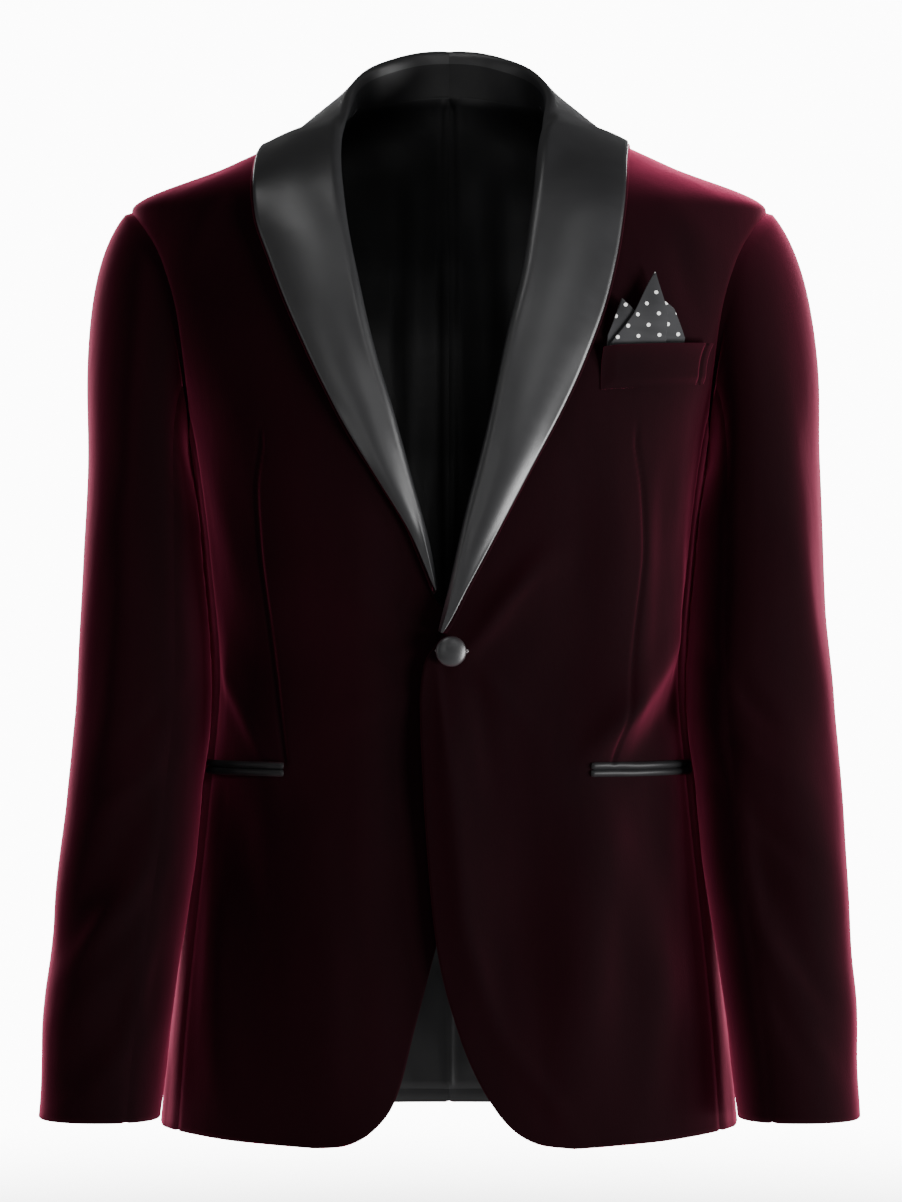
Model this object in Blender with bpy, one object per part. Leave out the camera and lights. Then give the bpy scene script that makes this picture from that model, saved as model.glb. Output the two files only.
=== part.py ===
"""Shawl-collar tuxedo jacket, worn upright with nobody in it.

Metres, +Z up. The wearer faces -Y and the wearer's left is +X. The origin lies between the two
neck ends of the shoulder seams, where the garment hangs on the shoulders.

Every cloth piece is a thin wall. The body panels are cut from one torso form, a stack of rings,
along seams that are curves on that form. The sleeves are lofted from the armholes to the cuffs,
the collar is a folded strip along the roll line, and whatever lies on a panel is made from that
panel's points, moved out.
"""

import math
from collections import namedtuple

import bmesh
import bpy
import numpy as np
from mathutils import Matrix, Vector

# Cloth thicknesses and the gaps between pieces
VELVET = 0.0020
SATIN = 0.0012
LINING = 0.0010
SEAM_GAP = 0.0005
LAYER_GAP = 0.0010

# Torso form: half width, depth forward and back of mid_y, and squareness of each level ring
Ring = namedtuple("Ring", "z half_width front back mid_y square")
RINGS = [
    Ring(0.030, 0.060, 0.052, 0.058, 0.014, 2.00),
    Ring(0.012, 0.066, 0.058, 0.066, 0.013, 2.05),
    Ring(0.000, 0.072, 0.064, 0.076, 0.012, 2.10),
    Ring(-0.020, 0.115, 0.080, 0.088, 0.012, 2.15),
    Ring(-0.040, 0.158, 0.094, 0.098, 0.011, 2.20),
    Ring(-0.072, 0.226, 0.108, 0.108, 0.009, 2.30),
    Ring(-0.110, 0.221, 0.119, 0.118, 0.006, 2.35),
    Ring(-0.160, 0.207, 0.130, 0.124, 0.003, 2.40),
    Ring(-0.235, 0.184, 0.136, 0.124, 0.000, 2.40),
    Ring(-0.320, 0.174, 0.132, 0.112, 0.000, 2.40),
    Ring(-0.400, 0.169, 0.126, 0.104, 0.000, 2.35),
    Ring(-0.480, 0.177, 0.127, 0.110, 0.000, 2.35),
    Ring(-0.560, 0.187, 0.130, 0.121, 0.000, 2.35),
    Ring(-0.640, 0.197, 0.132, 0.128, 0.000, 2.35),
    Ring(-0.760, 0.208, 0.134, 0.134, 0.000, 2.35),
]

# Seams on the form, as angles round it from the front (0) to the centre back (180 degrees)
SHOULDER_TIP_Z = -0.072
NECK_POINT_TURN = 0.10
NECK_POINT_Z = -0.0015
NECK_BACK_Z = 0.012
SIDE_ANGLE = math.radians(90)
Seam = namedtuple("Seam", "z front_angle back_angle")
SIDE_SEAMS = [
    Seam(-0.200, 77.0, 107.0),
    Seam(-0.400, 73.0, 112.0),
    Seam(-0.760, 72.0, 114.0),
]

# Armhole: an oval on the form, its top at the shoulder tip
ARMHOLE_BOTTOM_Z = -0.238
ARMHOLE_FRONT = math.radians(19)
ARMHOLE_BACK = math.radians(22)

# Hem height round the form, by angle in degrees
Hem = namedtuple("Hem", "angle z")
HEM = [Hem(0, -0.7240), Hem(30, -0.7235), Hem(52, -0.7205), Hem(75, -0.7165), Hem(180, -0.7160)]

# Front edges below the break, from the break down round the cutaway to the hem
Edge = namedtuple("Edge", "x z")
FRONT_EDGES = {
    "left": [
        Edge(-0.0090, -0.3700),
        Edge(-0.0165, -0.3920),
        Edge(-0.0190, -0.4160),
        Edge(-0.0170, -0.4700),
        Edge(-0.0130, -0.5320),
        Edge(-0.0070, -0.5870),
        Edge(0.0105, -0.6520),
        Edge(0.0315, -0.6940),
        Edge(0.0490, -0.7130),
        Edge(0.0650, -0.7205),
        Edge(0.0850, -0.7232),
    ],
    "right": [
        Edge(-0.0130, -0.3700),
        Edge(-0.0185, -0.3920),
        Edge(-0.0185, -0.4300),
        Edge(-0.0150, -0.4800),
        Edge(-0.0040, -0.5400),
        Edge(0.0085, -0.5800),
        Edge(0.0240, -0.6380),
        Edge(0.0395, -0.6930),
        Edge(0.0590, -0.7150),
        Edge(0.0745, -0.7215),
        Edge(0.0930, -0.7232),
    ],
}

# Lapels in front view, from the break up to the side of the neck: roll line and outer edge
Lapel = namedtuple("Lapel", "roll_x roll_z edge_x edge_z")
LAPELS = {
    "left": [
        Lapel(-0.0075, -0.3680, -0.0040, -0.3690),
        Lapel(-0.0012, -0.3400, 0.0130, -0.3370),
        Lapel(0.0092, -0.2930, 0.0540, -0.2600),
        Lapel(0.0245, -0.2330, 0.0925, -0.1810),
        Lapel(0.0400, -0.1600, 0.1095, -0.1320),
        Lapel(0.0505, -0.1150, 0.1165, -0.1000),
        Lapel(0.0575, -0.0680, 0.1210, -0.0680),
        Lapel(0.0620, -0.0280, 0.1225, -0.0420),
    ],
    "right": [
        Lapel(0.0075, -0.3400, 0.0090, -0.3410),
        Lapel(0.0130, -0.3080, 0.0240, -0.3060),
        Lapel(0.0240, -0.2680, 0.0510, -0.2600),
        Lapel(0.0375, -0.2180, 0.0790, -0.2110),
        Lapel(0.0500, -0.1760, 0.1010, -0.1650),
        Lapel(0.0600, -0.1330, 0.1220, -0.1140),
        Lapel(0.0700, -0.0820, 0.1330, -0.0800),
        Lapel(0.0750, -0.0330, 0.1345, -0.0480),
    ],
}

# Collar round the neck, from the shoulder to the centre back, the same on both sides
Collar = namedtuple("Collar", "roll_x roll_y roll_z edge_x edge_y edge_z")
COLLAR_BACK = [
    Collar(0.0715, -0.0020, 0.0100, 0.1240, 0.0200, -0.0230),
    Collar(0.0610, 0.0380, 0.0320, 0.0990, 0.0760, -0.0150),
    Collar(0.0390, 0.0640, 0.0450, 0.0600, 0.1010, -0.0010),
    Collar(0.0150, 0.0765, 0.0513, 0.0230, 0.1073, 0.0055),
    Collar(0.0000, 0.0790, 0.0520, 0.0000, 0.1080, 0.0060),
]
ROLL_RADIUS = 0.0042
RETURN_WIDTH = 0.016
PANEL_INSET = 0.0070
INSET_STARTS = (-0.392, -0.366)
ROLL_ABOVE_BREAK = 0.020
NECK_INSET = 0.0070
NECK_STARTS = (-0.085, -0.040)
NECK_RETURN = 0.15
RETURN_STARTS = 0.15
RETURN_SHARE = (0.10, 0.80)
BACK_STARTS = (-0.020, 0.012)
SWELL_STARTS = 0.20
FALL_LIFT = 0.0046
FALL_SWELL = 0.0040
ROLL_SHARE = 0.30
NECK_SEAM_GAP = 0.004
UNDER_EDGE = 0.0010
UNDER_START = 0.0030
UNDER_GAP = 0.0006
UNDER_THICKNESS = 0.0010

# The left front laps over the right one, which sinks inwards towards the middle
LAP_DEPTH = 0.0065
LAP_START_X = 0.065
LAP_FULL_X = 0.022

# Sleeves, level by level: outer reach of each, reach towards the body, depth and its middle
Sleeve = namedtuple("Sleeve", "z outer_left outer_right inner half_depth mid_y")
SLEEVES = [
    Sleeve(-0.300, 0.2635, 0.2545, 0.171, 0.067, -0.012),
    Sleeve(-0.404, 0.2680, 0.2600, 0.168, 0.061, -0.030),
    Sleeve(-0.489, 0.2735, 0.2660, 0.175, 0.057, -0.044),
    Sleeve(-0.560, 0.2765, 0.2745, 0.184, 0.054, -0.054),
    Sleeve(-0.631, 0.2825, 0.2800, 0.194, 0.052, -0.061),
    Sleeve(-0.706, 0.2845, 0.2840, 0.203, 0.050, -0.066),
]
SLEEVE_SQUARE = 2.2
SLEEVE_SEAM_TURN = 0.006
SLEEVE_FALL_STEP = 0.020
SLEEVE_CLEARANCE = 0.0048
ARMHOLE_GAP = 0.0018
UNDERARM_GAP = 0.0014
BESIDE_ARMHOLE = (0.90, 1.00)
CLEAR_OF_ARMHOLE = (1.02, 1.35)
CAP_LEAVES_TOP = (0.65, 0.0, -0.76)
CAP_LEAVES_UNDER = (0.35, 0.0, -0.90)
CAP_BULGE = 0.50
CAP_FULLNESS = 0.80
CAP_FALL = 1.05
FRONT_SLEEVE_SEAM = math.radians(118)
BACK_SLEEVE_SEAM = math.radians(252)

# Large folds: a ridge (or, with a negative height, a trough) from one end to the other
Fold = namedtuple("Fold", "piece x0 z0 x1 z1 width height")
FOLDS = [
    Fold("left", 0.020, -0.372, 0.075, -0.315, 0.012, 0.0030),
    Fold("left", 0.000, -0.420, 0.016, -0.640, 0.016, 0.0040),
    Fold("left", 0.045, -0.430, 0.050, -0.600, 0.024, -0.0035),
    Fold("left", 0.160, -0.330, 0.105, -0.455, 0.020, 0.0040),
    Fold("left", 0.100, -0.560, 0.085, -0.680, 0.026, 0.0030),
    Fold("right", 0.165, -0.370, 0.118, -0.465, 0.014, 0.0030),
    Fold("right", 0.150, -0.480, 0.130, -0.660, 0.018, -0.0040),
    Fold("sleeve_left", 0.252, -0.215, 0.266, -0.385, 0.012, -0.0035),
    Fold("sleeve_left", 0.205, -0.510, 0.274, -0.670, 0.014, -0.0045),
    Fold("sleeve_left", 0.232, -0.440, 0.270, -0.580, 0.016, 0.0035),
    Fold("sleeve_right", 0.212, -0.490, 0.266, -0.590, 0.014, -0.0045),
    Fold("sleeve_right", 0.205, -0.600, 0.268, -0.690, 0.014, -0.0035),
    Fold("sleeve_right", 0.222, -0.550, 0.270, -0.640, 0.014, 0.0030),
]
FOLD_FADE = 0.035
FOLD_OFF_SEAM = 0.30
FOLDS_BELOW_CAP = 0.40
FOLDS_IN_FRONT = (-0.35, 0.25)
FRONT_FOLD_OFF_SEAM = 0.12
FRONT_FOLDS_FACE = (0.10, 0.35)
TURN_NUDGE = 0.01

# Pockets, square and button
Welt = namedtuple("Welt", "x0 x1 top_z0 top_z1 height thickness")
BREAST_WELT = Welt(0.1040, 0.1765, -0.1745, -0.1690, 0.0285, 0.0022)
JET_Z = -0.4640
JET_HEIGHT = 0.0044
JET_GAP = 0.0012
JET_THICKNESS = 0.0018
JET_BELLY = (0.6, 1.0, 0.6)
JET_FRONT_X = {"left": 0.0975, "right": 0.1140}
JET_BACK_ANGLE = math.radians(74.5)
Peak = namedtuple("Peak", "x z")
SQUARE_PEAKS = {
    "front": [
        Peak(0.1095, -0.1720),
        Peak(0.1240, -0.1520),
        Peak(0.1395, -0.1225),
        Peak(0.1470, -0.1500),
    ],
    "back": [
        Peak(0.1080, -0.1660),
        Peak(0.1170, -0.1415),
        Peak(0.1260, -0.1500),
        Peak(0.1400, -0.1380),
        Peak(0.1530, -0.1470),
        Peak(0.1610, -0.1660),
    ],
}
SQUARE_BASE_Z = -0.181
SQUARE_LIFTS = {"front": 0.0030, "back": 0.0008}
SQUARE_RIPPLE = 0.0010
SQUARE_RIPPLE_PITCH = 0.0230
SQUARE_HEIGHT = 0.0590
SQUARE_LEAN = 0.0040
POCKET_MOUTH = 0.0070
SQUARE_THICKNESS = 0.0012
BUTTON_X = 0.0014
BUTTON_Z = -0.3820
BUTTON_RADIUS = 0.0105
BUTTON_HEIGHT = 0.0058
BUTTON_TILT = math.radians(14)
BUTTON_STANDS_OFF = 0.0035
BUTTON_FOOT = 0.92
BUTTON_RIM = 0.30

# Points that lines are worked out with before they are spaced evenly
LINE_POINTS = 120
SEAM_POINTS = 60
ARMHOLE_POINTS = 80
SPLINE_POINTS = 40
TURN_POINTS = 400
SWEEP = np.radians(np.linspace(-30, 89.5, 480))

# Grid sizes of the pieces, across by along
FRONT_GRID = (13, 30)
SIDE_GRID = (8, 14)
BACK_GRID = (12, 22)
SLEEVE_ACROSS = {"top": 13, "under": 8}
SLEEVE_ROWS = 24
CAP_ROWS = 8
COLLAR_STATIONS = 26
FALL_STEPS = 5
FOLD_STEPS = 4
STAND_STEPS = 2
WELT_GRID = (7, 4)
SQUARE_ROWS = 6
SQUARE_STEPS = 3
JET_ACROSS = 12
BUTTON_STEPS = 5
BUTTON_TURNS = 24

# How much of the first row or column of the back panel the lining leaves bare
LINING_SHORT_HEM = 0.30
LINING_SHORT_TOP = 0.10
LINING_SHORT_SIDE = 0.25

SIDES = ("left", "right")

# Plain finishes
SHARP_ANGLE = math.radians(50)
Finish = namedtuple("Finish", "red green blue roughness")
FINISHES = {
    "burgundy_velvet": Finish(0.045, 0.004, 0.010, 0.75),
    "black_satin": Finish(0.020, 0.020, 0.022, 0.35),
    "black_lining": Finish(0.010, 0.010, 0.011, 0.45),
    "dotted_cotton": Finish(0.030, 0.030, 0.033, 0.80),
}


def smooth_curve(knots, values):
    """A smooth curve through the points, with no overshoot between them."""
    order = np.argsort(knots)
    x = np.asarray(knots, float)[order]
    y = np.asarray(values, float)[order]
    step = np.diff(x)
    slope = np.diff(y) / step
    tangent = np.zeros(len(x))
    tangent[0], tangent[-1] = slope[0], slope[-1]
    product = slope[:-1] * slope[1:]
    total = np.where(product > 0, slope[:-1] + slope[1:], 1.0)
    tangent[1:-1] = np.where(product > 0, 2 * product / total, 0.0)

    def at(query):
        query = np.clip(query, x[0], x[-1])
        i = np.clip(np.searchsorted(x, query) - 1, 0, len(step) - 1)
        t = (query - x[i]) / step[i]
        rise = y[i] * (1 + 2 * t) * (1 - t) ** 2 + y[i + 1] * t * t * (3 - 2 * t)
        lean = tangent[i] * t * (1 - t) ** 2 - tangent[i + 1] * t * t * (1 - t)
        return rise + lean * step[i]

    return at


def column(table, name):
    return [getattr(row, name) for row in table]


def ramp(value, start, end):
    """0 before start, 1 after end, smooth between."""
    t = np.clip((np.asarray(value, float) - start) / (end - start), 0, 1)
    return t * t * (3 - 2 * t)


RING_CURVES = {n: smooth_curve(column(RINGS, "z"), column(RINGS, n)) for n in Ring._fields[1:]}
FRONT_SEAM = smooth_curve(column(SIDE_SEAMS, "z"), np.radians(column(SIDE_SEAMS, "front_angle")))
BACK_SEAM = smooth_curve(column(SIDE_SEAMS, "z"), np.radians(column(SIDE_SEAMS, "back_angle")))
HEM_Z = smooth_curve(np.radians(column(HEM, "angle")), column(HEM, "z"))


def form(angle, z):
    """Points of the torso form on the wearer's left, by angle from the front and height."""
    half_width = RING_CURVES["half_width"](z)
    square = RING_CURVES["square"](z)
    sine, cosine = np.sin(angle), np.cos(angle)
    depth = np.where(cosine > 0, RING_CURVES["front"](z), RING_CURVES["back"](z))
    across = (np.abs(sine) / half_width) ** square
    along = (np.abs(cosine) / depth) ** square
    radius = (across + along) ** (-1 / square)
    y = RING_CURVES["mid_y"](z) - radius * cosine
    return np.stack([radius * sine, y, z + 0 * radius], axis=-1)


def unit(vectors):
    return vectors / np.maximum(np.linalg.norm(vectors, axis=-1, keepdims=True), 1e-12)


def form_normal(angle, z):
    turn, rise = 1e-3, 5e-4
    round_it = form(angle + turn, z) - form(angle - turn, z)
    up = form(angle, z + rise) - form(angle, z - rise)
    return unit(np.cross(round_it, up))


def on_form(angle, z, out=0.0):
    """Points of the form moved out along its normal."""
    angle, z, out = np.broadcast_arrays(angle, z, out)
    return form(angle, z) + form_normal(angle, z) * out[..., None]


def angle_at(x, z):
    """The angle where the form's front has this x at this height."""
    x, z = np.broadcast_arrays(np.asarray(x, float), np.asarray(z, float))
    found = [np.interp(a, form(SWEEP, b)[:, 0], SWEEP) for a, b in zip(x.ravel(), z.ravel())]
    return np.array(found).reshape(x.shape)


def domain_of(points):
    """Angle and height on the form of points near it."""
    z = points[..., 2]
    y = points[..., 1] - RING_CURVES["mid_y"](z)
    return np.arctan2(points[..., 0], -y), z


def lifted(points, clear):
    """The points, moved out where they are nearer to the form than the clearance."""
    for _ in range(4):
        angle, z = domain_of(points)
        normal = form_normal(angle, z)
        gap = np.sum((points - form(angle, z)) * normal, axis=-1)
        points = points + normal * np.maximum(clear - gap, 0)[..., None]
    return points


def fold_height(piece, x, z):
    """How far the folds of a piece stand out at a front-view place."""
    total = np.zeros(np.broadcast(x, z).shape)
    for fold in FOLDS:
        if fold.piece != piece:
            continue
        start = np.array([fold.x0, fold.z0])
        run = np.array([fold.x1, fold.z1]) - start
        length = np.linalg.norm(run)
        dx, dz = x - start[0], z - start[1]
        along = (dx * run[0] + dz * run[1]) / length
        aside = (dx * run[1] - dz * run[0]) / length
        taper = ramp(along, -FOLD_FADE, FOLD_FADE) * ramp(length - along, -FOLD_FADE, FOLD_FADE)
        total = total + fold.height * taper * np.exp(-((aside / fold.width) ** 2))
    return total


def front_out(side, angle, z):
    """How far a front panel stands off the form: its folds, and the lap of the right one."""
    x = form(angle, z)[..., 0]
    to_seam = FRONT_SEAM(z) - angle
    inside = ramp(to_seam, 0.0, FRONT_FOLD_OFF_SEAM) * ramp(np.cos(angle), *FRONT_FOLDS_FACE)
    out = fold_height(side, x, z) * inside
    if side == "right":
        out = out - LAP_DEPTH * ramp(-x, -LAP_START_X, -LAP_FULL_X)
    return out


def along(points, count):
    """The points of an open line, spaced evenly by length."""
    points = np.asarray(points, float)
    length = np.concatenate([[0], np.cumsum(np.linalg.norm(np.diff(points, axis=0), axis=1))])
    even = np.linspace(0, length[-1], count)
    return np.stack([np.interp(even, length, points[:, k]) for k in range(points.shape[1])], axis=1)


def spline(points, count):
    """A smooth line through the points, spaced evenly by length."""
    points = np.asarray(points, float)
    chord = np.concatenate([[0], np.cumsum(np.linalg.norm(np.diff(points, axis=0), axis=1))])
    curves = [smooth_curve(chord, points[:, k]) for k in range(points.shape[1])]
    fine = np.linspace(0, chord[-1], SPLINE_POINTS * len(points))
    return along(np.stack([curve(fine) for curve in curves], axis=1), count)


def patch(bottom, top, left, right):
    """A grid filled smoothly between four edge lines, indexed across then along."""
    across, up = len(bottom), len(left)
    s = np.linspace(0, 1, across)[:, None, None]
    t = np.linspace(0, 1, up)[None, :, None]
    edges = (1 - s) * left[None] + s * right[None] + (1 - t) * bottom[:, None] + t * top[:, None]
    corners = (1 - s) * ((1 - t) * left[0] + t * left[-1]) + s * ((1 - t) * right[0] + t * right[-1])
    return edges - corners


def by_length(domain_line, count):
    """A line in the form's angle and height, spaced evenly by its real length."""
    line = np.asarray(domain_line, float)
    places = form(line[:, 0], line[:, 1])
    both = np.concatenate([places, line], axis=1)
    length = np.concatenate([[0], np.cumsum(np.linalg.norm(np.diff(places, axis=0), axis=1))])
    even = np.linspace(0, length[-1], count)
    return np.stack([np.interp(even, length, both[:, k]) for k in (3, 4)], axis=1)


def armhole(turn):
    """The armhole on the form by its own angle: 0 at the shoulder tip, 90 degrees in front."""
    middle = (SHOULDER_TIP_Z + ARMHOLE_BOTTOM_Z) / 2
    half = (SHOULDER_TIP_Z - ARMHOLE_BOTTOM_Z) / 2
    sine = np.sin(turn)
    reach = np.where(sine > 0, ARMHOLE_FRONT, ARMHOLE_BACK)
    return np.stack([SIDE_ANGLE - reach * sine, middle + half * np.cos(turn)], axis=-1)


def seam_turn(seam, low, high):
    """The armhole angle where a side seam runs into it."""
    turns = np.linspace(low, high, TURN_POINTS)
    angle, z = armhole(turns).T
    return turns[np.argmin(np.abs(angle - seam(z)))]


FRONT_TURN = seam_turn(FRONT_SEAM, math.radians(100), math.radians(179))
BACK_TURN = seam_turn(BACK_SEAM, math.radians(181), math.radians(260))


def shoulder_line(count, outwards):
    """The shoulder seam on the form, between the neck and the shoulder tip."""
    z = np.linspace(0, SHOULDER_TIP_Z, count)
    line = np.stack([np.full(count, SIDE_ANGLE), z], axis=1)
    return line if outwards else line[::-1]


def seam_side(seam, turn, tip_turn=None):
    """A side seam from the hem up and, given the shoulder tip, on along the armhole to it."""
    foot_angle = float(seam(HEM[-1].z))
    foot_z = float(HEM_Z(foot_angle))
    top_z = armhole(np.array(turn))[1]
    z = np.linspace(foot_z, top_z, SEAM_POINTS)
    straight = np.stack([seam(z), z], axis=1)
    if tip_turn is None:
        return straight
    curve = armhole(np.linspace(turn, tip_turn, ARMHOLE_POINTS))
    return np.concatenate([straight, curve[1:]])


def front_inner_line(side):
    """A front panel's free edge on the form: up the cutaway, past the break, inside the roll."""
    edge = [(row.x, row.z) for row in reversed(FRONT_EDGES[side])]
    above = edge[-1][1] + ROLL_ABOVE_BREAK
    roll = [(row.roll_x, row.roll_z) for row in LAPELS[side] if row.roll_z > above]
    line = spline(edge + roll, LINE_POINTS)
    inset = PANEL_INSET * ramp(line[:, 1], *INSET_STARTS) + NECK_INSET * ramp(line[:, 1], *NECK_STARTS)
    angle = angle_at(line[:, 0] + inset, line[:, 1])
    neck = [[SIDE_ANGLE - NECK_POINT_TURN, NECK_POINT_Z], [SIDE_ANGLE, 0.0]]
    return np.concatenate([np.stack([angle, line[:, 1]], axis=1), neck])


def hem_line(start_angle, end_angle, count):
    angle = np.linspace(start_angle, end_angle, count)
    return np.stack([angle, HEM_Z(angle)], axis=1)


def pulled_in(grid, out):
    """The grid with each rim drawn in by half a seam gap."""
    places = on_form(grid[..., 0], grid[..., 1], out)
    for axis in (0, 1):
        places = np.swapaxes(places, 0, axis)
        for rim, inside in ((0, 1), (-1, -2)):
            step = unit(places[inside] - places[rim])
            places[rim] = places[rim] + step * SEAM_GAP / 2
        places = np.swapaxes(places, 0, axis)
    return places


def front_grid(side):
    across, up = FRONT_GRID
    left = by_length(front_inner_line(side), up)
    right = by_length(seam_side(FRONT_SEAM, FRONT_TURN, 0.0), up)
    bottom = hem_line(left[0, 0], right[0, 0], across)
    left[0], right[0] = bottom[0], bottom[-1]
    return patch(bottom, shoulder_line(across, True), left, right)


def side_grid():
    across, up = SIDE_GRID
    top = armhole(np.linspace(FRONT_TURN, BACK_TURN, across))
    left = by_length(seam_side(FRONT_SEAM, FRONT_TURN), up)
    right = by_length(seam_side(BACK_SEAM, BACK_TURN), up)
    bottom = hem_line(left[0, 0], right[0, 0], across)
    top[1:-1, 1] -= UNDERARM_GAP
    left[0], right[0], left[-1], right[-1] = bottom[0], bottom[-1], top[0], top[-1]
    return patch(bottom, top, left, right)


def back_grid(across, up):
    neck_share = across // 2 - 1
    turn = np.linspace(math.pi, SIDE_ANGLE, neck_share + 1)
    neck = np.stack([turn, NECK_BACK_Z * ramp(turn, SIDE_ANGLE, math.pi)], axis=1)
    top = np.concatenate([neck, shoulder_line(across - neck_share, True)[1:]])
    right = by_length(seam_side(BACK_SEAM, BACK_TURN, 2 * math.pi), up)
    bottom = hem_line(math.pi, right[0, 0], across)
    z = np.linspace(bottom[0, 1], NECK_BACK_Z, up)
    left = np.stack([np.full(up, math.pi), z], axis=1)
    right[0] = bottom[-1]
    return patch(bottom, top, left, right)


def material(name):
    finish = FINISHES[name]
    made = bpy.data.materials.new(name)
    made.use_nodes = True
    shader = made.node_tree.nodes["Principled BSDF"]
    shader.inputs["Base Color"].default_value = (finish.red, finish.green, finish.blue, 1.0)
    shader.inputs["Roughness"].default_value = finish.roughness
    shader.inputs["Metallic"].default_value = 0.0
    return made


def grid_normals(grid):
    return unit(np.cross(np.gradient(grid, axis=0), np.gradient(grid, axis=1)))


def wall(name, outer, inner, finish, mirrored=False):
    """A closed wall between two grids of points, as one named object."""
    if mirrored:
        outer, inner = outer * (-1, 1, 1), inner * (-1, 1, 1)
    across, up = outer.shape[:2]
    mesh = bmesh.new()
    skins = [[[mesh.verts.new(p) for p in row] for row in grid] for grid in (outer, inner)]
    for skin in skins:
        for i in range(across - 1):
            for j in range(up - 1):
                mesh.faces.new((skin[i][j], skin[i + 1][j], skin[i + 1][j + 1], skin[i][j + 1]))
    rim = [(i, 0) for i in range(across)] + [(across - 1, j) for j in range(1, up)]
    rim += [(i, up - 1) for i in range(across - 2, -1, -1)] + [(0, j) for j in range(up - 2, 0, -1)]
    for (i, j), (k, m) in zip(rim, rim[1:] + rim[:1]):
        mesh.faces.new((skins[0][i][j], skins[0][k][m], skins[1][k][m], skins[1][i][j]))
    return finished(name, mesh, finish)


def finished(name, mesh, finish):
    """The mesh as a named object with outward faces and smooth shading."""
    bmesh.ops.recalc_face_normals(mesh, faces=mesh.faces)
    if mesh.calc_volume(signed=True) < 0:
        bmesh.ops.reverse_faces(mesh, faces=mesh.faces)
    data = bpy.data.meshes.new(name)
    mesh.to_mesh(data)
    mesh.free()
    data.shade_smooth()
    data.set_sharp_from_angle(angle=SHARP_ANGLE)
    data.materials.append(finish)
    made = bpy.data.objects.new(name, data)
    bpy.context.scene.collection.objects.link(made)
    return made


def panel(name, grid, side, finish, out=0.0, thickness=VELVET):
    """A body panel: a wall whose outside is the grid's points, moved out."""
    outer = pulled_in(grid, out)
    inner = pulled_in(grid, out - thickness)
    return wall(name, outer, inner, finish, side == "right")


def make_body(velvet, lining):
    for side in SIDES:
        grid = front_grid(side)
        panel(f"front_{side}", grid, side, velvet, front_out(side, grid[..., 0], grid[..., 1]))
        panel(f"side_{side}", side_grid(), side, velvet)
        panel(f"back_{side}", back_grid(*BACK_GRID), side, velvet)
        inside = -(VELVET + LAYER_GAP)
        panel(f"lining_{side}", lining_grid(), side, lining, inside, LINING)


def lining_grid():
    """The back lining: the back panel's own points, stopped short of its hem, armhole and neck."""
    grid = back_grid(*BACK_GRID)
    short = grid.copy()
    short[:, 0] += (grid[:, 1] - grid[:, 0]) * LINING_SHORT_HEM
    short[:, -1] += (grid[:, -2] - grid[:, -1]) * LINING_SHORT_TOP
    short[-1] += (short[-2] - short[-1]) * LINING_SHORT_SIDE
    return short


def sleeve_rows(side):
    """Rings of a sleeve below its cap, each by the sleeve's own angle, 0 on the outside."""
    outer_name = f"outer_{side}"
    columns = {n: smooth_curve(column(SLEEVES, "z"), column(SLEEVES, n)) for n in Sleeve._fields[1:]}

    def ring(turn, z):
        outer, inner = columns[outer_name](z), columns["inner"](z)
        middle, half = (outer + inner) / 2, (outer - inner) / 2
        power = 2 / SLEEVE_SQUARE
        cosine, sine = np.cos(turn), np.sin(turn)
        x = middle + half * np.sign(cosine) * np.abs(cosine) ** power
        y = columns["mid_y"](z) - columns["half_depth"](z) * np.sign(sine) * np.abs(sine) ** power
        return np.stack([x, y, z + 0 * x], axis=-1)

    return ring


def clear_of_body(points):
    """Sleeve points moved aside where they would touch the torso round and below the armhole."""
    angle, z = domain_of(points)
    body = form(angle, z)
    mid_y = RING_CURVES["mid_y"](z)
    reach = np.where(angle < SIDE_ANGLE, ARMHOLE_FRONT, ARMHOLE_BACK)
    middle = (SHOULDER_TIP_Z + ARMHOLE_BOTTOM_Z) / 2
    half = (SHOULDER_TIP_Z - ARMHOLE_BOTTOM_Z) / 2
    outside_hole = np.hypot((angle - SIDE_ANGLE) / reach, (z - middle) / half)
    gap = np.hypot(points[..., 0], points[..., 1] - mid_y) - np.hypot(body[..., 0], body[..., 1] - mid_y)
    wanted = ARMHOLE_GAP + (SLEEVE_CLEARANCE - ARMHOLE_GAP) * ramp(outside_hole, *CLEAR_OF_ARMHOLE)
    moved = points.copy()
    moved[..., 0] += np.maximum(wanted - gap, 0) * ramp(outside_hole, *BESIDE_ARMHOLE)
    return moved


def sleeve_surface(side, turn):
    """A sleeve's points by its own angle, from the armhole down to the cuff."""
    ring = sleeve_rows(side)
    top_z, cuff_z = SLEEVES[0].z, SLEEVES[-1].z
    hole = armhole(np.mod(turn, 2 * math.pi))
    seat = form(hole[:, 0], hole[:, 1]) + np.array([ARMHOLE_GAP, 0, 0])
    landing = ring(turn, np.full(len(turn), top_z))
    falling = unit(ring(turn, np.full(len(turn), top_z - SLEEVE_FALL_STEP)) - landing)
    span = np.linalg.norm(landing - seat, axis=1, keepdims=True)
    topness = ((1 + np.cos(turn)) / 2)[:, None]
    leaving = np.array(CAP_LEAVES_TOP) * topness + np.array(CAP_LEAVES_UNDER) * (1 - topness)
    leaving[:, 1] -= CAP_BULGE * np.sin(turn)
    leaving = unit(leaving)
    rows = []
    for t in np.linspace(0, 1, CAP_ROWS, endpoint=False):
        ends = (1 + 2 * t) * (1 - t) ** 2 * seat + t * t * (3 - 2 * t) * landing
        leans = t * (1 - t) ** 2 * leaving * CAP_FULLNESS - t * t * (1 - t) * falling * CAP_FALL
        rows.append(ends + leans * span)
    for z in np.linspace(top_z, cuff_z, SLEEVE_ROWS - CAP_ROWS):
        rows.append(ring(turn, np.full(len(turn), z)))
    return clear_of_body(np.stack(rows, axis=1))


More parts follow.
